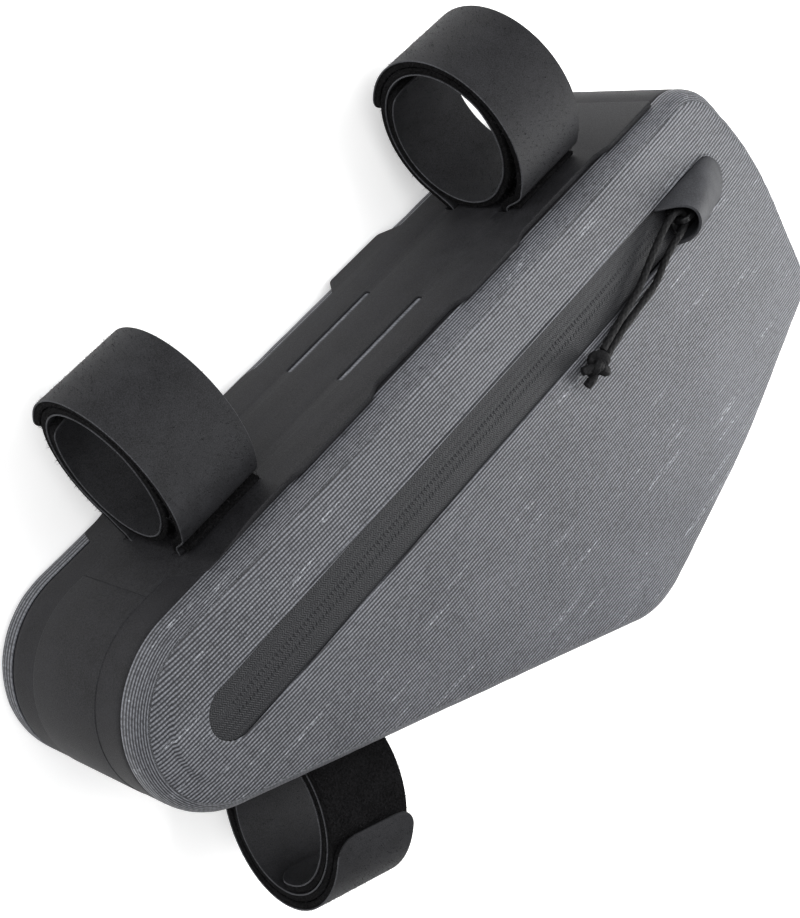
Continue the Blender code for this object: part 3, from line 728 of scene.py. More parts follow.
strapping = {
    "width": 0.0300,
    "thickness": 0.0024,
    "skin": 0.00050,
    "pileOverlap": 0.00002,    # the pile's reach into a skin
    "pileInset": 0.0003,       # from the skins' edges
    "layerGap": 0.0004,
    "slotSpacing": 0.0230,
    "slotWidth": 0.0040,
    "slotRadius": 0.0008,
    "clearance": 0.0006,
    "anchorWidth": 0.0360,
    "anchorMargin": 0.0080,
    "anchorRadius": 0.0030,
    "cornerRadius": 0.0065,
}

straps = {
    "strapFront": ("top", 0.220, 0.0249, 0.0498, 117.0, 510.0, 1.0, "strap_front"),
    "strapRear": ("top", 0.733, 0.0275, 0.0527, 111.0, 510.0, 1.0, "strap_rear"),
    "strapBottom": ("lower", 0.280, 0.0270, 0.0545, 90.0, 555.0, -1.0, "strap_bottom"),
}

# The pile's hem beside a top strap's near foot: reach beyond the slot, and height over the plate
strapHem = ((0.0024, 0.0026), (0.0034, 0.0016), (0.0048, 0.0010), (0.0062, 0.0008))


def roundedPolygon(points, radius, segments=4):
    rounded = []
    count = len(points)
    for index in range(count):
        here = Vector(points[index])
        before, after = Vector(points[index - 1]), Vector(points[(index + 1) % count])
        reach = min(radius, (before - here).length * 0.45, (after - here).length * 0.45)
        first = here + (before - here).normalized() * reach
        last = here + (after - here).normalized() * reach
        for step in range(segments + 1):
            t = step / segments
            rounded.append(first * (1 - t) ** 2 + here * 2 * t * (1 - t) + last * t * t)
    return rounded


def slottedPlate(name, border, holes, turn, thickness, look):
    # A flat sheet with holes, from a filled curve with a small bevel.
    curve = bpy.data.curves.new(name, "CURVE")
    curve.dimensions = "2D"
    curve.fill_mode = "BOTH"
    bevel = harness["bevel"]
    curve.extrude = thickness / 2 - bevel
    curve.bevel_depth = bevel
    curve.bevel_resolution = 2
    curve.offset = -bevel
    for points in [border] + holes:
        spline = curve.splines.new("POLY")
        spline.points.add(len(points) - 1)
        for index, p in enumerate(points):
            spline.points[index].co = (p.x, p.y, 0, 1)
        spline.use_cyclic_u = True
    source = linkObject(name, curve)
    mesh = evaluatedMesh(source)
    bpy.data.objects.remove(source)
    mesh.transform(turn @ Matrix.Translation((0, 0, bag["gap"] + thickness / 2)))
    cleanMesh(mesh, look, 35, 0.000005)
    return linkObject(name, mesh)


def boxHole(x, y, lengthX, lengthY, radius):
    signs = ((-1, -1), (1, -1), (1, 1), (-1, 1))
    return roundedPolygon([(x + a * lengthX / 2, y + b * lengthY / 2) for a, b in signs], radius)


def strapHole(s, side):
    return boxHole(s, side * strapping["slotSpacing"] / 2, strapping["width"] + 2 * strapping["clearance"],
                   strapping["slotWidth"], strapping["slotRadius"])


def makeHarness():
    turn = edgeFrame("top", 0)
    rows = harness["edge"]
    chamfer = harness["widths"]["wide"] - harness["widths"]["narrow"]
    near, far = [], []
    for index, (share, width, reach) in enumerate(rows[:-1]):
        last = index == len(rows) - 2
        start = share * bag["length"] + (chamfer / 2 if index else 0)
        end = rows[index + 1][0] * bag["length"] - (0 if last else chamfer / 2)
        for s in (start, end):
            near.append((s, harness["widths"][width] / 2))
            far.append((s, -harness["widths"][width] / 2 - reach))
    edge = near + far[::-1]
    holes = []
    for row in straps.values():
        if row[0] == "top":
            holes += [strapHole(row[1] * bag["length"], side) for side in (-1, 1)]
    middle = harness["slotStart"] + harness["slotLength"] / 2
    for side in (-1, 1):
        holes.append(boxHole(middle, side * harness["slotSpacing"] / 2, harness["slotLength"],
                             harness["slotWidth"], harness["slotRadius"]))
    plate = slottedPlate("harnessPlate", roundedPolygon(edge, harness["cornerRadius"]), holes, turn,
                         harness["thickness"], looks["harness"])
    sinkEnd(plate)
    return plate


def sinkEnd(plate):
    # The sheet's end sinks into the band towards the nose.
    first, last = harness["thinEnd"]
    work = bmesh.new()
    work.from_mesh(plate.data)
    for step in range(6):
        spot = place(first + (last - first) * step / 5, 0)
        whole = work.verts[:] + work.edges[:] + work.faces[:]
        bmesh.ops.bisect_plane(work, geom=whole, dist=0.00001, plane_co=(spot.x, 0, 0), plane_no=(1, 0, 0))
    edge = bag["originD"]
    sunk = harness["sunkRise"]
    for vertex in work.verts:
        along = min(max((vertex.co.x + bag["originS"] - first) / (last - first), 0.0), 1.0)
        along = along * along * (3 - 2 * along)
        rise = (vertex.co.y - edge - bag["gap"]) / harness["thickness"]
        low = -sunk + (bag["gap"] + sunk) * along
        high = sunk + (bag["gap"] + harness["thickness"] - sunk) * along
        vertex.co.y = edge + low + (high - low) * rise
    work.to_mesh(plate.data)
    work.free()


slotCloth = {
    "overlap": 0.0020,     # past each end of the slots
    "halfWidth": 0.0180,
    "rows": 37,
    "sunk": 0.00005,       # below the band's surface
    "rise": 0.00125,       # above it
    "ribShare": 0.3,       # the ribs' pitch here against the border's
}


def makeSlotCloth():
    # The panel's ribbed cloth, which shows through the harness's long slots.
    reach = harness["slotLength"] / 2 + slotCloth["overlap"]
    middle = harness["slotStart"] + harness["slotLength"] / 2
    left, right = place(middle - reach, 0).x, place(middle + reach, 0).x
    low, high = bag["originD"] - slotCloth["sunk"], bag["originD"] + slotCloth["rise"]
    section = ((left, low), (right, low), (right, high), (left, high))
    rings = []
    for z in np.linspace(-slotCloth["halfWidth"], slotCloth["halfWidth"], slotCloth["rows"]):
        rings.append([Vector((x, y, midHeight + z)) for x, y in section])
    cloth = loftPiece("slotCloth", rings, looks["panel"], smoothAngle=30)
    spots = np.array([vertex.co.z - midHeight for vertex in cloth.data.vertices], np.float32)
    attribute = cloth.data.attributes.new("edgeInset", "FLOAT", "POINT")
    attribute.data.foreach_set("value", spots * slotCloth["ribShare"])
    return cloth


def makeAnchor():
    row = straps["strapBottom"]
    turn = edgeFrame(row[0], row[1])
    length = strapping["width"] + 2 * strapping["anchorMargin"]
    border = boxHole(0, 0, length, strapping["anchorWidth"], strapping["anchorRadius"])
    return slottedPlate("bottomAnchorPlate", border, [strapHole(0, side) for side in (-1, 1)], turn,
                        harness["thickness"], looks["harness"])


noseStrip = {"width": 0.0300, "thickness": 0.00036, "sunk": 0.00020, "edgeRadius": 0.0003}


def makeNoseStrip():
    start, end, along = lowerEdge()
    share = straps["strapBottom"][1]
    reach = share * (end - start).length - strapping["width"] / 2 - strapping["anchorMargin"] - bag["gap"]
    topEnd = harness["edge"][0][0] * bag["length"] - bag["gap"]
    outward = Vector((along.y, -along.x))

    def line(lift):
        arc = outline(-lift)[:bag["cornerSteps"][0] + 1]
        upper = place(topEnd, -lift)
        run = arc if (arc[0] - upper).length < (arc[-1] - upper).length else arc[::-1]
        first = [upper.lerp(run[0], step / 6) for step in range(6)]
        lower = start + along * reach + outward * lift
        last = [run[-1].lerp(lower, step / 12) for step in range(1, 13)]
        return first + run + last

    low, high = line(-noseStrip["sunk"]), line(noseStrip["thickness"] - noseStrip["sunk"])
    halfWidth, radius = noseStrip["width"] / 2, noseStrip["edgeRadius"]
    left = [(-halfWidth, 0), (-halfWidth, 0.6), (-halfWidth + radius * 0.3, 0.87), (-halfWidth + radius, 1)]
    section = left + [(0, 1)] + [(-across, rise) for across, rise in reversed(left)]
    rings = []
    for a, b in zip(low, high):
        rings.append([Vector((*a.lerp(b, rise), midHeight + across)) for across, rise in section])
    return loftPiece("noseStripBand", rings, looks["harness"])


finishPiece(makeBand(), "black_band", "gusset_band")
finishPiece(makeHarness(), "harness_rubber", "harness")
finishPiece(makeSlotCloth(), "grey_fabric_front")
finishPiece(makeNoseStrip(), "nose_strip_rubber", "nose_strip")
finishPiece(makeAnchor(), "anchor_rubber", "bottom_anchor")
print("band and harness made")


# Straps

def strapLine(halfWidth, height, freeEnd, innerEnd):
    # The strap's middle line as (across, out), and the index where its facing turns under the plate.
    pitch = strapping["thickness"] + strapping["layerGap"]
    across = halfWidth - strapping["thickness"] / 2
    upright = (height - strapping["thickness"] - bag["gap"] + 2 * pitch) / 2
    centre = bag["gap"] + strapping["thickness"] / 2 + upright - 2 * pitch

    def around(angle, layer):
        turn, inwards = math.radians(angle), layer * pitch
        return Vector((-(across - inwards) * math.sin(turn), centre - (upright - inwards) * math.cos(turn)))

    slot = strapping["slotSpacing"] / 2
    under = harness["thickness"] + bag["gap"] + strapping["thickness"] / 2
    descent = [Vector(v) for v in ((slot + 0.00156, 0.6 * under), (slot + 0.0002, 0), (slot, -0.42 * under),
                                   (slot - 0.0008, -0.86 * under), (slot - 0.0026, -under))]
    coarse = [around(angle, 0) for angle in np.arange(freeEnd, 315.1, 7.5)]
    coarse += descent
    turnAt = len(coarse)
    coarse += [Vector((-p.x, p.y)) for p in reversed(descent)]
    for angle in np.arange(45, innerEnd + 0.1, 7.5):
        coarse.append(around(angle, 1 + min(max((angle - 240) / 75, 0), 1)))
    per = 5
    last = len(coarse) - 1
    fine = [catmull(coarse, step / (per * last)) for step in range(per * last + 1)]
    return fine, turnAt * per - per // 2


def ribbon(line, first, last, low, high, frameMatrix, side, ends, shrink=0.0):
    # Rings of a thin ribbon between two offsets from the line, with rounded corners at its free ends.
    distance = [0.0]
    for index in range(first + 1, last + 1):
        distance.append(distance[-1] + (line[index] - line[index - 1]).length)
    total = distance[-1]
    halfWidth = strapping["width"] / 2 - shrink
    radius = strapping["cornerRadius"]
    soft = min((high - low) * 0.35, 0.00025)
    rings = []
    for index in range(first, last + 1):
        here = line[index]
        along = (line[min(index + 1, len(line) - 1)] - line[max(index - 1, 0)]).normalized()
        normal = Vector((-along.y, along.x))
        half = halfWidth
        gone = distance[index - first]
        for atEnd, reach in zip(ends, (gone, total - gone)):
            if atEnd and reach < radius:
                curved = math.sqrt(max(radius ** 2 - (radius - reach) ** 2, 1e-9))
                half = min(half, halfWidth - radius + curved)
        ring = []
        lower = [(-half, low + soft), (-half + soft, low), (half - soft, low), (half, low + soft)]
        upper = [(half, high - soft), (half - soft, high), (-half + soft, high), (-half, high - soft)]
        for x, offset in lower + upper:
            spot = here + normal * offset
            ring.append(frameMatrix @ Vector((x, side * spot.x, spot.y)))
        rings.append(ring)
    return rings


def joinRings(name, groups, look):
    # Eight-sided tubes as one mesh, each with an end face.
    vertices, faces = [], []
    for rings in groups:
        base = len(vertices)
        count = len(rings[0])
        vertices.extend(p for ring in rings for p in ring)
        for row in range(len(rings) - 1):
            faces += ringFaces(base + row * count, base + (row + 1) * count, count)
        faces.append(tuple(base + index for index in range(count)))
        faces.append(tuple(base + (len(rings) - 1) * count + index for index in range(count)))
    return meshPiece(name, vertices, faces, look, 40)


fuzz = {
    "length": 0.00105,
    "radius": 0.000085,
    "tipShare": 0.35,      # the tip's radius against the root's
    "density": 0.70e6,     # fibres a square metre
    "lean": 0.75,
    "sizes": (0.55, 1.15),
    "seed": 11,
}


def fuzzTree(hair, look):
    # Short fibres scattered over a mesh, leaning every way.
    tree, source = startTree("strapFuzz", "Density", fuzz["density"])
    seed = tree.interface.new_socket("Seed", in_out="INPUT", socket_type="NodeSocketInt")
    seed.default_value = fuzz["seed"]
    scatter = addNode(tree, "GeometryNodeDistributePointsOnFaces", None, {
        "Mesh": source.outputs["Geometry"], "Density": source.outputs["Density"],
        "Seed": source.outputs["Seed"]})
    info = addNode(tree, "GeometryNodeObjectInfo", None, {"Object": hair})
    lean = addNode(tree, "FunctionNodeRandomValue", {"data_type": "FLOAT_VECTOR"})
    lean.inputs[0].default_value = (-fuzz["lean"], -fuzz["lean"], 0.0)
    lean.inputs[1].default_value = (fuzz["lean"], fuzz["lean"], 6.28)
    tree.links.new(source.outputs["Seed"], lean.inputs["Seed"])
    turned = addNode(tree, "FunctionNodeRotateRotation", {"rotation_space": "LOCAL"}, {
        "Rotation": scatter.outputs["Rotation"]})
    asRotation = addNode(tree, "FunctionNodeEulerToRotation", None, {0: lean.outputs[0]})
    tree.links.new(asRotation.outputs[0], turned.inputs[1])
    size = addNode(tree, "FunctionNodeRandomValue", {"data_type": "FLOAT"})
    size.inputs[2].default_value, size.inputs[3].default_value = fuzz["sizes"]
    copies = addNode(tree, "GeometryNodeInstanceOnPoints", None, {
        "Points": scatter.outputs["Points"], "Instance": info.outputs["Geometry"],
        "Rotation": turned.outputs[0], "Scale": size.outputs[1]})
    return finishTree(tree, copies, look)


def makeHair():
    # One fibre: a three-sided spike.
    rings = []
    for radius, height in ((fuzz["radius"], 0), (fuzz["radius"] * fuzz["tipShare"], fuzz["length"])):
        rings.append([Vector((radius * math.cos(turn), radius * math.sin(turn), height))
                      for turn in (0, 2.094, 4.189)])
    return loftPiece("fuzzFibre", rings, looks["pile"], smoothAngle=180)


def growFuzz(piece, tree, seed, name):
    modifier = piece.modifiers.new("fuzz", "NODES")
    modifier.node_group = tree
    setInput(modifier, "Density", fuzz["density"])
    setInput(modifier, "Seed", seed)
    grown = bakeTree(piece, name)
    piece.modifiers.clear()
    return grown


def makeStraps():
    hair = makeHair()
    tree = fuzzTree(hair, looks["fibre"])
    for order, (name, row) in enumerate(straps.items()):
        edge, share, halfWidth, height, freeEnd, innerEnd, side, node = row
        turn = edgeFrame(edge, share) @ Matrix.Translation((0, 0, bag["gap"] + harness["thickness"]))
        line, switch = strapLine(halfWidth, height, freeEnd, innerEnd)
        half, skin = strapping["thickness"] / 2, strapping["skin"]
        last = len(line) - 1
        skins = [ribbon(line, 0, switch, half - skin, half, turn, side, (True, False)),
                 ribbon(line, switch, last, -half, -half + skin, turn, side, (False, True))]
        body = joinRings(name, skins, looks["strap"])
        body.data.materials.append(looks["strapEdge"])
        for face in body.data.polygons:
            across = abs((turn.inverted() @ face.center).x) / (strapping["width"] / 2)
            level = abs((turn.inverted().to_3x3() @ face.normal).x)
            face.material_index = 1 if across > 0.97 and level > 0.5 else 0
        finishPiece(body, node + "_fabric", node)
        reach = half - skin + strapping["pileOverlap"]
        piles = [ribbon(line, 1, switch, -half, reach, turn, side, (True, False), strapping["pileInset"]),
                 ribbon(line, switch, last - 1, -reach, half, turn, side, (False, True),
                        strapping["pileInset"])]
        if edge == "top":
            slot = strapping["slotSpacing"] / 2
            hem = [Vector((slot + reach, out)) for reach, out in strapHem]
            piles.append(ribbon(hem, 0, len(hem) - 1, -0.0007, 0.0007, turn, side, (False, False), 0.0006))
        pile = joinRings(name + "Pile", piles, looks["pile"])
        finishPiece(pile, node + "_fabric")
        fibres = growFuzz(pile, tree, fuzz["seed"] + order, name + "Fuzz")
        finishPiece(fibres, node + "_fabric")
    bpy.data.objects.remove(hair)


makeStraps()
print("straps made")


# Zip

def tapeAt(s, d):
    # The tape's surface, which sinks a little before the hood.
    share = min(max((s - zipper["sinkFrom"]) / zipper["sinkReach"], 0.0), 1.0)
    return faceAt(s, d) - zipper["tapeRecess"] - zipper["sink"] * share * share * (3 - 2 * share)


def makeTape():
    radius = zipper["width"] / 2 - bag["gap"]
    length = zipper["length"] - 2 * bag["gap"]
    ends = [radius * (1 - math.cos(math.radians(angle))) for angle in range(6, 91, 6)]
    steps = 150
    straight = [radius + (length - 2 * radius) * step / steps for step in range(1, steps)]
    stations = ends + straight + [length - reach for reach in reversed(ends)]
    across = [step / 10 - 1 for step in range(21)]
    rings = []
    for reach in stations:
        nearest = min(reach, length - reach, radius)
        half = math.sqrt(radius ** 2 - (radius - nearest) ** 2)
        top, low = [], []
        for share in across:
            s, d = zipper["start"] + bag["gap"] + reach, zipper["depth"] + share * half
            p = place(s, d)
            ridge = zipper["ridge"] * math.exp(-(share * half / zipper["ridgeReach"]) ** 2)
            height = tapeAt(s, d)
            top.append(Vector((p.x, p.y, height + ridge)))
            low.append(Vector((p.x, p.y, height - zipper["tapeThickness"])))
        rings.append(top + low[::-1])
    return loftPiece("zipTape", rings, looks["tape"])


def toothTree(tooth, look):
    # Copies of one tooth along the curve at an even pitch.
    tree, source = startTree("zipTeeth", "Pitch", zipper["toothPitch"])
    spots = addNode(tree, "GeometryNodeCurveToPoints", {"mode": "LENGTH"}, {
        "Curve": source.outputs["Geometry"], "Length": source.outputs["Pitch"]})
    info = addNode(tree, "GeometryNodeObjectInfo", None, {"Object": tooth})
    copies = addNode(tree, "GeometryNodeInstanceOnPoints", None, {
        "Points": spots.outputs["Points"], "Instance": info.outputs["Geometry"]})
    return finishTree(tree, copies, look)


def makeTooth(slant):
    # A small rounded dash, the bulge of one coil turn under the cloth.
    rings = []
    for step in range(7):
        turn = math.pi * step / 6
        reach = -zipper["toothHalfLength"] * math.cos(turn)
        width = zipper["toothHalfWidth"] * math.sin(turn) + 0.00004
        rise = zipper["toothRise"] * math.sin(turn)
        angles = [2 * math.pi * k / 8 for k in range(8)]
        rings.append([Vector((slant * reach + width * math.cos(a), reach, rise * math.sin(a)))
                      for a in angles])
    return loftPiece("zipTooth", rings, looks["tape"], smoothAngle=180)


def makeTeeth():
    first = zipper["start"] + 0.010
    last = zipper["start"] + zipper["length"] - 0.034
    for name, side in (("zipTeethUpper", -1), ("zipTeethLower", 1)):
        tooth = makeTooth(0.25 * side)
        curve = bpy.data.curves.new(name, "CURVE")
        curve.dimensions = "3D"
        spline = curve.splines.new("POLY")
        spline.points.add(zipper["toothSteps"])
        for index in range(zipper["toothSteps"] + 1):
            s = first + (last - first) * index / zipper["toothSteps"]
            d = zipper["depth"] + side * zipper["rowSpacing"] / 2
            p = place(s, d)
            spline.points[index].co = (p.x, p.y, tapeAt(s, d) + zipper["toothLift"], 1)
        source = linkObject(name + "Line", curve)
        modifier = source.modifiers.new("teeth", "NODES")
        modifier.node_group = toothTree(tooth, looks["tape"])
        setInput(modifier, "Pitch", zipper["toothPitch"])
        row = bakeTree(source, name)
        row.data.shade_smooth()
        bpy.data.objects.remove(source)
        bpy.data.objects.remove(tooth)
        finishPiece(row, "zip_tape_fabric")


hood = {
    "length": 0.0300,
    "height": 0.0090,
    "wall": 0.0012,
    "fullness": 0.8,
    "section": ((0.00, 1.00), (0.22, 0.90), (0.48, 0.66), (0.72, 0.38), (0.90, 0.20), (1.00, 0.05)),
    "lean": 0.0046,            # how far the top of the mouth leans back
    "cornerReach": 0.0036,     # how far its upper corner runs forward
    "arch": 28,
    "steps": 40,
}


def hoodHeight(share):
    rows = hood["section"]
    for (a, b), (c, d) in zip(rows, rows[1:]):
        if a <= share <= c:
            t = (share - a) / (c - a)
            t = t * t * (3 - 2 * t) * 0.35 + t * 0.65
            return b + (d - b) * t
    return rows[-1][1]


def makeHood():
    radius = zipper["width"] / 2 - bag["gap"]
    end = zipper["start"] + zipper["length"] - bag["gap"]
    start = end - hood["length"]
    base = faceHeight + bag["crown"] + bag["gap"] - zipper["tapeRecess"]
    shells = []
    for wall in (0.0, hood["wall"]):
        rings = []
        for step in range(hood["steps"] + 1):
            share = 0.995 * math.sin(math.pi / 2 * step / hood["steps"])
            length = hood["length"] - wall
            reach = (1 - share) * length
            half = max(math.sqrt(max(radius ** 2 - (radius - min(reach, radius)) ** 2, 0)) - wall, 0.0002)
            tall = max(hoodHeight(share) * hood["height"] - wall, 0.0002)
            ring = []
            for k in range(hood["arch"] + 1):
                angle = math.pi * k / hood["arch"]
                back = hood["lean"] * (1 - share) ** 2 * math.sin(angle)
                back -= hood["cornerReach"] * (1 - share) ** 3 * max(math.cos(angle), 0) ** 3
                p = place(start + share * length + back, zipper["depth"] - half * math.cos(angle))
                ring.append(Vector((p.x, p.y, base + tall * max(math.sin(angle), 0) ** hood["fullness"])))
            rings.append(ring)
        shells.append(rings)
    outer, inner = shells
    lip = [a.lerp(b, 0.5) + Vector((-0.0005, 0, 0)) for a, b in zip(outer[0], inner[0])]
    rings = inner[::-1] + [lip] + outer
    vertices = [p for ring in rings for p in ring]
    count = len(rings[0])
    faces = []
    for row in range(len(rings) - 1):
        faces += ringFaces(row * count, (row + 1) * count, count, closed=False)
    middle = len(inner)
    total = len(rings)
    for index in (0, count - 1):
        for step in range(len(inner) - 1):
            a, b = middle - 1 - step, middle + 1 + step
            faces.append(tuple(row * count + index for row in (a, a - 1, b + 1, b)))
        faces.append(tuple(row * count + index for row in (middle - 1, middle, middle + 1)))
    end = tuple((total - 1) * count + index for index in range(count))
    faces.append(end + tuple(reversed(range(count))))
    return meshPiece("zipGarageHood", vertices, faces, looks["hood"], 50)


slider = {
    "insert": 0.0043,
    "length": 0.0090,
    "width": 0.0080,
    "height": 0.0016,
    "lugLength": 0.0072,
    "lugThickness": 0.0018,
    "lugHeight": 0.0062,
    "hole": 0.0038,
    "eyeLift": 0.0028,
}


def bevelledBox(work, sizeX, sizeY, sizeZ, centre, bevel, segments=3):
    made = bmesh.ops.create_cube(work, size=1.0)
    placed = Matrix.Translation(centre) @ Matrix.Diagonal((sizeX, sizeY, sizeZ, 1))
    bmesh.ops.transform(work, matrix=placed, verts=made["verts"])
    edges = list({edge for vert in made["verts"] for edge in vert.link_edges})
    bmesh.ops.bevel(work, geom=edges, offset=bevel, segments=segments, profile=0.5, affect="EDGES")


def sliderSpot():
    return zipper["start"] + zipper["length"] - bag["gap"] - hood["length"] + slider["insert"]


def makeSlider():
    eyeS = sliderSpot()
    p = place(eyeS, zipper["depth"])
    face = faceAt(eyeS, zipper["depth"])
    floor = face - zipper["tapeRecess"] + bag["gap"]
    work = bmesh.new()
    bevelledBox(work, slider["length"], slider["width"], slider["height"],
                Vector((p.x, p.y, floor + slider["height"] / 2)), 0.0004)
    # the lug is a ring on edge, with its hole along Y
    centre = Vector((p.x, p.y, face + slider["eyeLift"]))
    outerX, outerZ = slider["lugLength"] / 2, slider["lugHeight"] / 2
    middle = Vector((p.x, p.y, floor + slider["lugHeight"] / 2))
    rings = []
    for k in range(40):
        a = 2 * math.pi * k / 40
        squareX = math.copysign(abs(math.cos(a)) ** 0.7, math.cos(a))
        squareZ = math.copysign(abs(math.sin(a)) ** 0.7, math.sin(a))
        outer = middle + Vector((outerX * squareX, 0, outerZ * squareZ))
        inner = centre + Vector((slider["hole"] / 2 * math.cos(a), 0, slider["hole"] / 2 * math.sin(a)))
        half = slider["lugThickness"] / 2
        ring = []
        for base, soften in ((outer, 1), (inner, -1)):
            ends = (-half, half) if soften == 1 else (half, -half)
            toward = (centre - base).normalized() * 0.00025 * soften
            ring.append(base + toward + Vector((0, ends[0], 0)))
            ring.append(base + Vector((0, ends[0] * 0.7, 0)))
            ring.append(base + Vector((0, ends[1] * 0.7, 0)))
            ring.append(base + toward + Vector((0, ends[1], 0)))
        rings.append([work.verts.new(v) for v in ring])
    for a, b in zip(rings, rings[1:] + rings[:1]):
        for index in range(len(a)):
            nxt = (index + 1) % len(a)
            work.faces.new((a[index], a[nxt], b[nxt], b[index]))
    bmesh.ops.recalc_face_normals(work, faces=work.faces)
    mesh = bpy.data.meshes.new("zipSliderBody")
    work.to_mesh(mesh)
    work.free()
    mesh.shade_smooth()
    mesh.set_sharp_from_angle(angle=math.radians(40))
    mesh.materials.append(looks["enamel"])
    return linkObject("zipSliderBody", mesh)


finishPiece(makeTape(), "zip_tape_fabric", "zip_tape")
makeTeeth()
finishPiece(makeHood(), "garage_rubber", "zip_garage")
finishPiece(makeSlider(), "slider_metal", "zip_slider")
print("zip made")


# Pull cord and knot

cord = {
    "diameter": 0.0024,
    "step": 0.00016,
    "around": 20,
    "strands": 5,
    "braidPitch": 0.0034,
    "relief": 0.26,
    "route": (
        (-0.0530, 0.0112, 0.0022), (-0.0415, 0.0090, 0.0018), (-0.0295, 0.0064, 0.0018),
        (-0.0185, 0.0018, 0.0018), (-0.0095, -0.0020, 0.0022), (-0.0040, -0.0034, 0.0028),
        (-0.0010, -0.0022, 0.0028), (0.0000, 0.0000, 0.0028), (-0.0010, 0.0022, 0.0028),
        (-0.0040, 0.0034, 0.0028), (-0.0090, 0.0046, 0.0024), (-0.0150, 0.0068, 0.0021),
        (-0.0220, 0.0100, 0.0018), (-0.0315, 0.0112, 0.0018), (-0.0415, 0.0122, 0.0018),
        (-0.0530, 0.0140, 0.0022),
    ),
}


def evenPath(points, step):
    # Points at an even step along a smooth curve through the given ones.
    fine = [catmull(points, k / 2000) for k in range(2001)]
    path, carried = [fine[0]], 0.0
    for a, b in zip(fine, fine[1:]):
        carried += (b - a).length
        if carried >= step:
            path.append(b)
            carried = 0.0
    return path


def braidedTube(name, path, radius, look, tip=0.0):
    # A tube with the lobes of its braid in the mesh, and rounded ends.
    rings = []
    side = Vector((0, 0, 1))
    distance = 0.0
    total = sum((b - a).length for a, b in zip(path, path[1:]))
    for index, p in enumerate(path):
        along = (path[min(index + 1, len(path) - 1)] - path[max(index - 1, 0)]).normalized()
        side = (side - along * side.dot(along)).normalized()
        other = along.cross(side)
        if index:
            distance += (p - path[index - 1]).length
        close = 1.0
        if tip:
            reach = min(distance, total - distance)
            close = math.sqrt(max(1 - (1 - min(reach / tip, 1)) ** 2, 0.02))
        phase = 2 * math.pi * distance / cord["braidPitch"]
        ring = []
        for k in range(cord["around"]):
            angle = 2 * math.pi * k / cord["around"]
            swing = cord["strands"] * angle
            lobes = max(math.sin(swing + phase), math.sin(swing - phase))
            r = radius * close * (1 - cord["relief"] * (0.5 - 0.5 * lobes))
            ring.append(p + side * (r * math.cos(angle)) + other * (r * math.sin(angle)))
        rings.append(ring)
    return loftPiece(name, rings, look, smoothAngle=180)


def routePoint(along, down, lift):
    s, d = sliderSpot() + along, zipper["depth"] + down
    p = place(s, d)
    return Vector((p.x, p.y, faceAt(s, d) + lift))


knot = {
    "step": 0.0002,
    "loopRadius": 0.00150,
    "tailRadius": 0.00145,
    "tip": 0.0005,
    # turn and swell of each loop
    "loops": ((0.0, 1.0), (0.52, 0.72), (1.05, 0.45)),
    # sway and rise of each tail
    "tails": ((0.0016, 0.0004), (-0.0020, -0.0006)),
    # a tail's course: X, share of its sway, drop
    "tailCourse": ((-0.0010, 0.3, 0.0), (-0.0034, 1.0, 0.0), (-0.0052, 1.4, 0.0006), (-0.0066, 1.7, 0.0012)),
}


def makeKnot():
    # A bulky knot of the doubled cord, with two short tails.
    low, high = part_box("cord_knot")
    centre = (low + high) / 2
    half = (high - low) / 2
    inside = Vector((half.x - 0.0016, half.y - 0.0014, half.z - 0.0019))
    pieces = []
    for turn, swell in knot["loops"]:
        loop = []
        for k in range(121):
            t = 2 * math.pi * k / 120 + turn
            x = (math.sin(t) + 2 * math.sin(2 * t)) / 3
            y = (math.cos(t) - 2 * math.cos(2 * t)) / 3
            z = -math.sin(3 * t)
            loop.append(centre + Vector((inside.x * swell * y, inside.y * swell * x * 1.1, inside.z * z)))
        path = evenPath(loop, knot["step"])
        pieces.append(braidedTube("knotLoop", path, knot["loopRadius"], looks["cord"]))
    for sway, rise in knot["tails"]:
        tail = [centre + Vector((x, sway * share, rise - drop)) for x, share, drop in knot["tailCourse"]]
        path = evenPath(tail, knot["step"])
        pieces.append(braidedTube("knotTail", path, knot["tailRadius"], looks["cord"], tip=knot["tip"]))
    work = bmesh.new()
    for piece in pieces:
        work.from_mesh(piece.data)
        bpy.data.objects.remove(piece)
    mesh = bpy.data.meshes.new("cordKnotTied")
    work.to_mesh(mesh)
    work.free()
    mesh.shade_smooth()
    mesh.materials.append(looks["cord"])
    return linkObject("cordKnotTied", mesh)


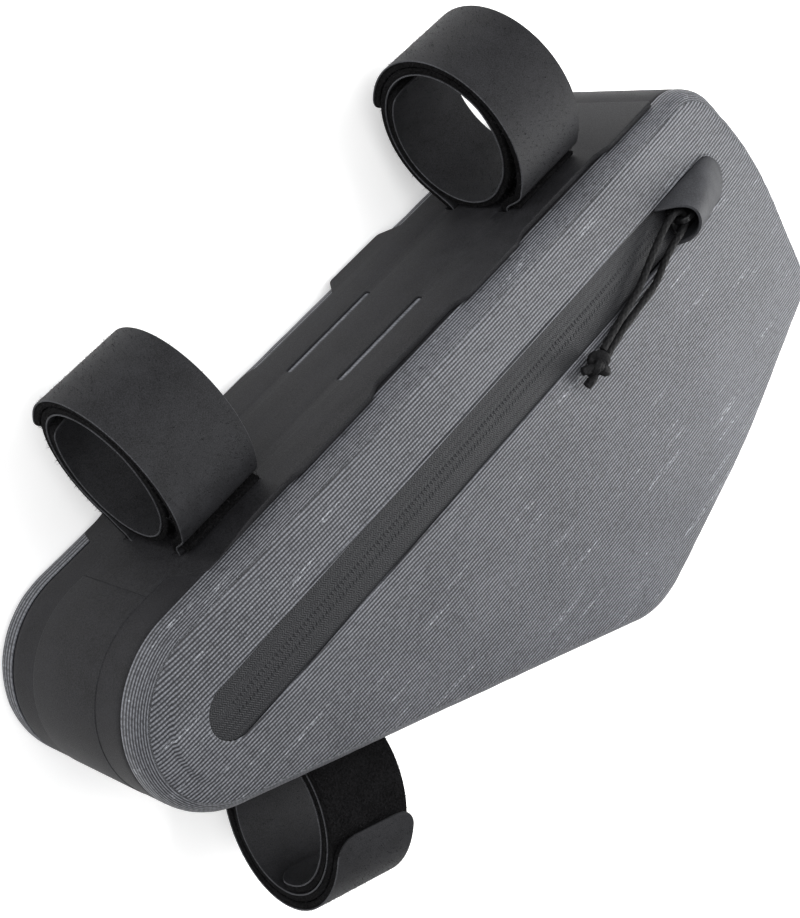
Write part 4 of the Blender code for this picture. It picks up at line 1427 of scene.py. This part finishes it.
def makeCord():
    points = [routePoint(*row) for row in cord["route"]]
    path = evenPath(points, cord["step"])
    tube = braidedTube("pullCordBraid", path, cord["diameter"] / 2, looks["cord"])
    finishPiece(tube, "pull_cord_fabric", "pull_cord")
    tied = makeKnot()
    finishPiece(tied, "cord_knot_fabric", "cord_knot")


makeCord()
print("cord made")


# Stage and light

stage = {
    "floorSize": 6.0,
    "floorDrop": 0.0002,
    "floorColour": (0.93, 0.93, 0.93),
    "worldColour": (1.0, 1.0, 1.0),
    "worldStrength": 0.42,
    "floorGlow": 0.35,
    "target": (0.0, 0.0, 0.03),
    "lights": {
        # position, size, power
        "keyLight": ((0.50, 0.30, 1.00), 0.8, 7.5),
        "fillLight": ((-0.40, 0.62, 0.75), 1.0, 7.5),
        "rearLight": ((0.34, -0.20, 0.30), 0.30, 2.4),
    },
}


def makeStage():
    size = stage["floorSize"] / 2
    mesh = bpy.data.meshes.new("studioFloor")
    square = ((-size, -size), (size, -size), (size, size), (-size, size))
    mesh.from_pydata([(x, y, -stage["floorDrop"]) for x, y in square], [], [(0, 1, 2, 3)])
    made, _, shader = startMaterial("paleFloor", 0.8)
    shader.inputs["Base Color"].default_value = (*stage["floorColour"], 1.0)
    shader.inputs["Emission Color"].default_value = (1.0, 1.0, 1.0, 1.0)
    shader.inputs["Emission Strength"].default_value = stage["floorGlow"]
    mesh.materials.append(made)
    linkObject("studioFloor", mesh)
    world = bpy.data.worlds.new("studioWorld")
    world.use_nodes = True
    background = world.node_tree.nodes["Background"]
    background.inputs["Color"].default_value = (*stage["worldColour"], 1.0)
    background.inputs["Strength"].default_value = stage["worldStrength"]
    bpy.context.scene.world = world
    for name, (position, side, power) in stage["lights"].items():
        data = bpy.data.lights.new(name, "AREA")
        data.size = side
        data.energy = power
        light = linkObject(name, data)
        light.location = position
        light.rotation_mode = "QUATERNION"
        light.rotation_quaternion = (Vector(stage["target"]) - Vector(position)).to_track_quat("-Z", "Y")


makeStage()
bpy.context.scene.view_settings.view_transform = "Standard"
print("stage made")
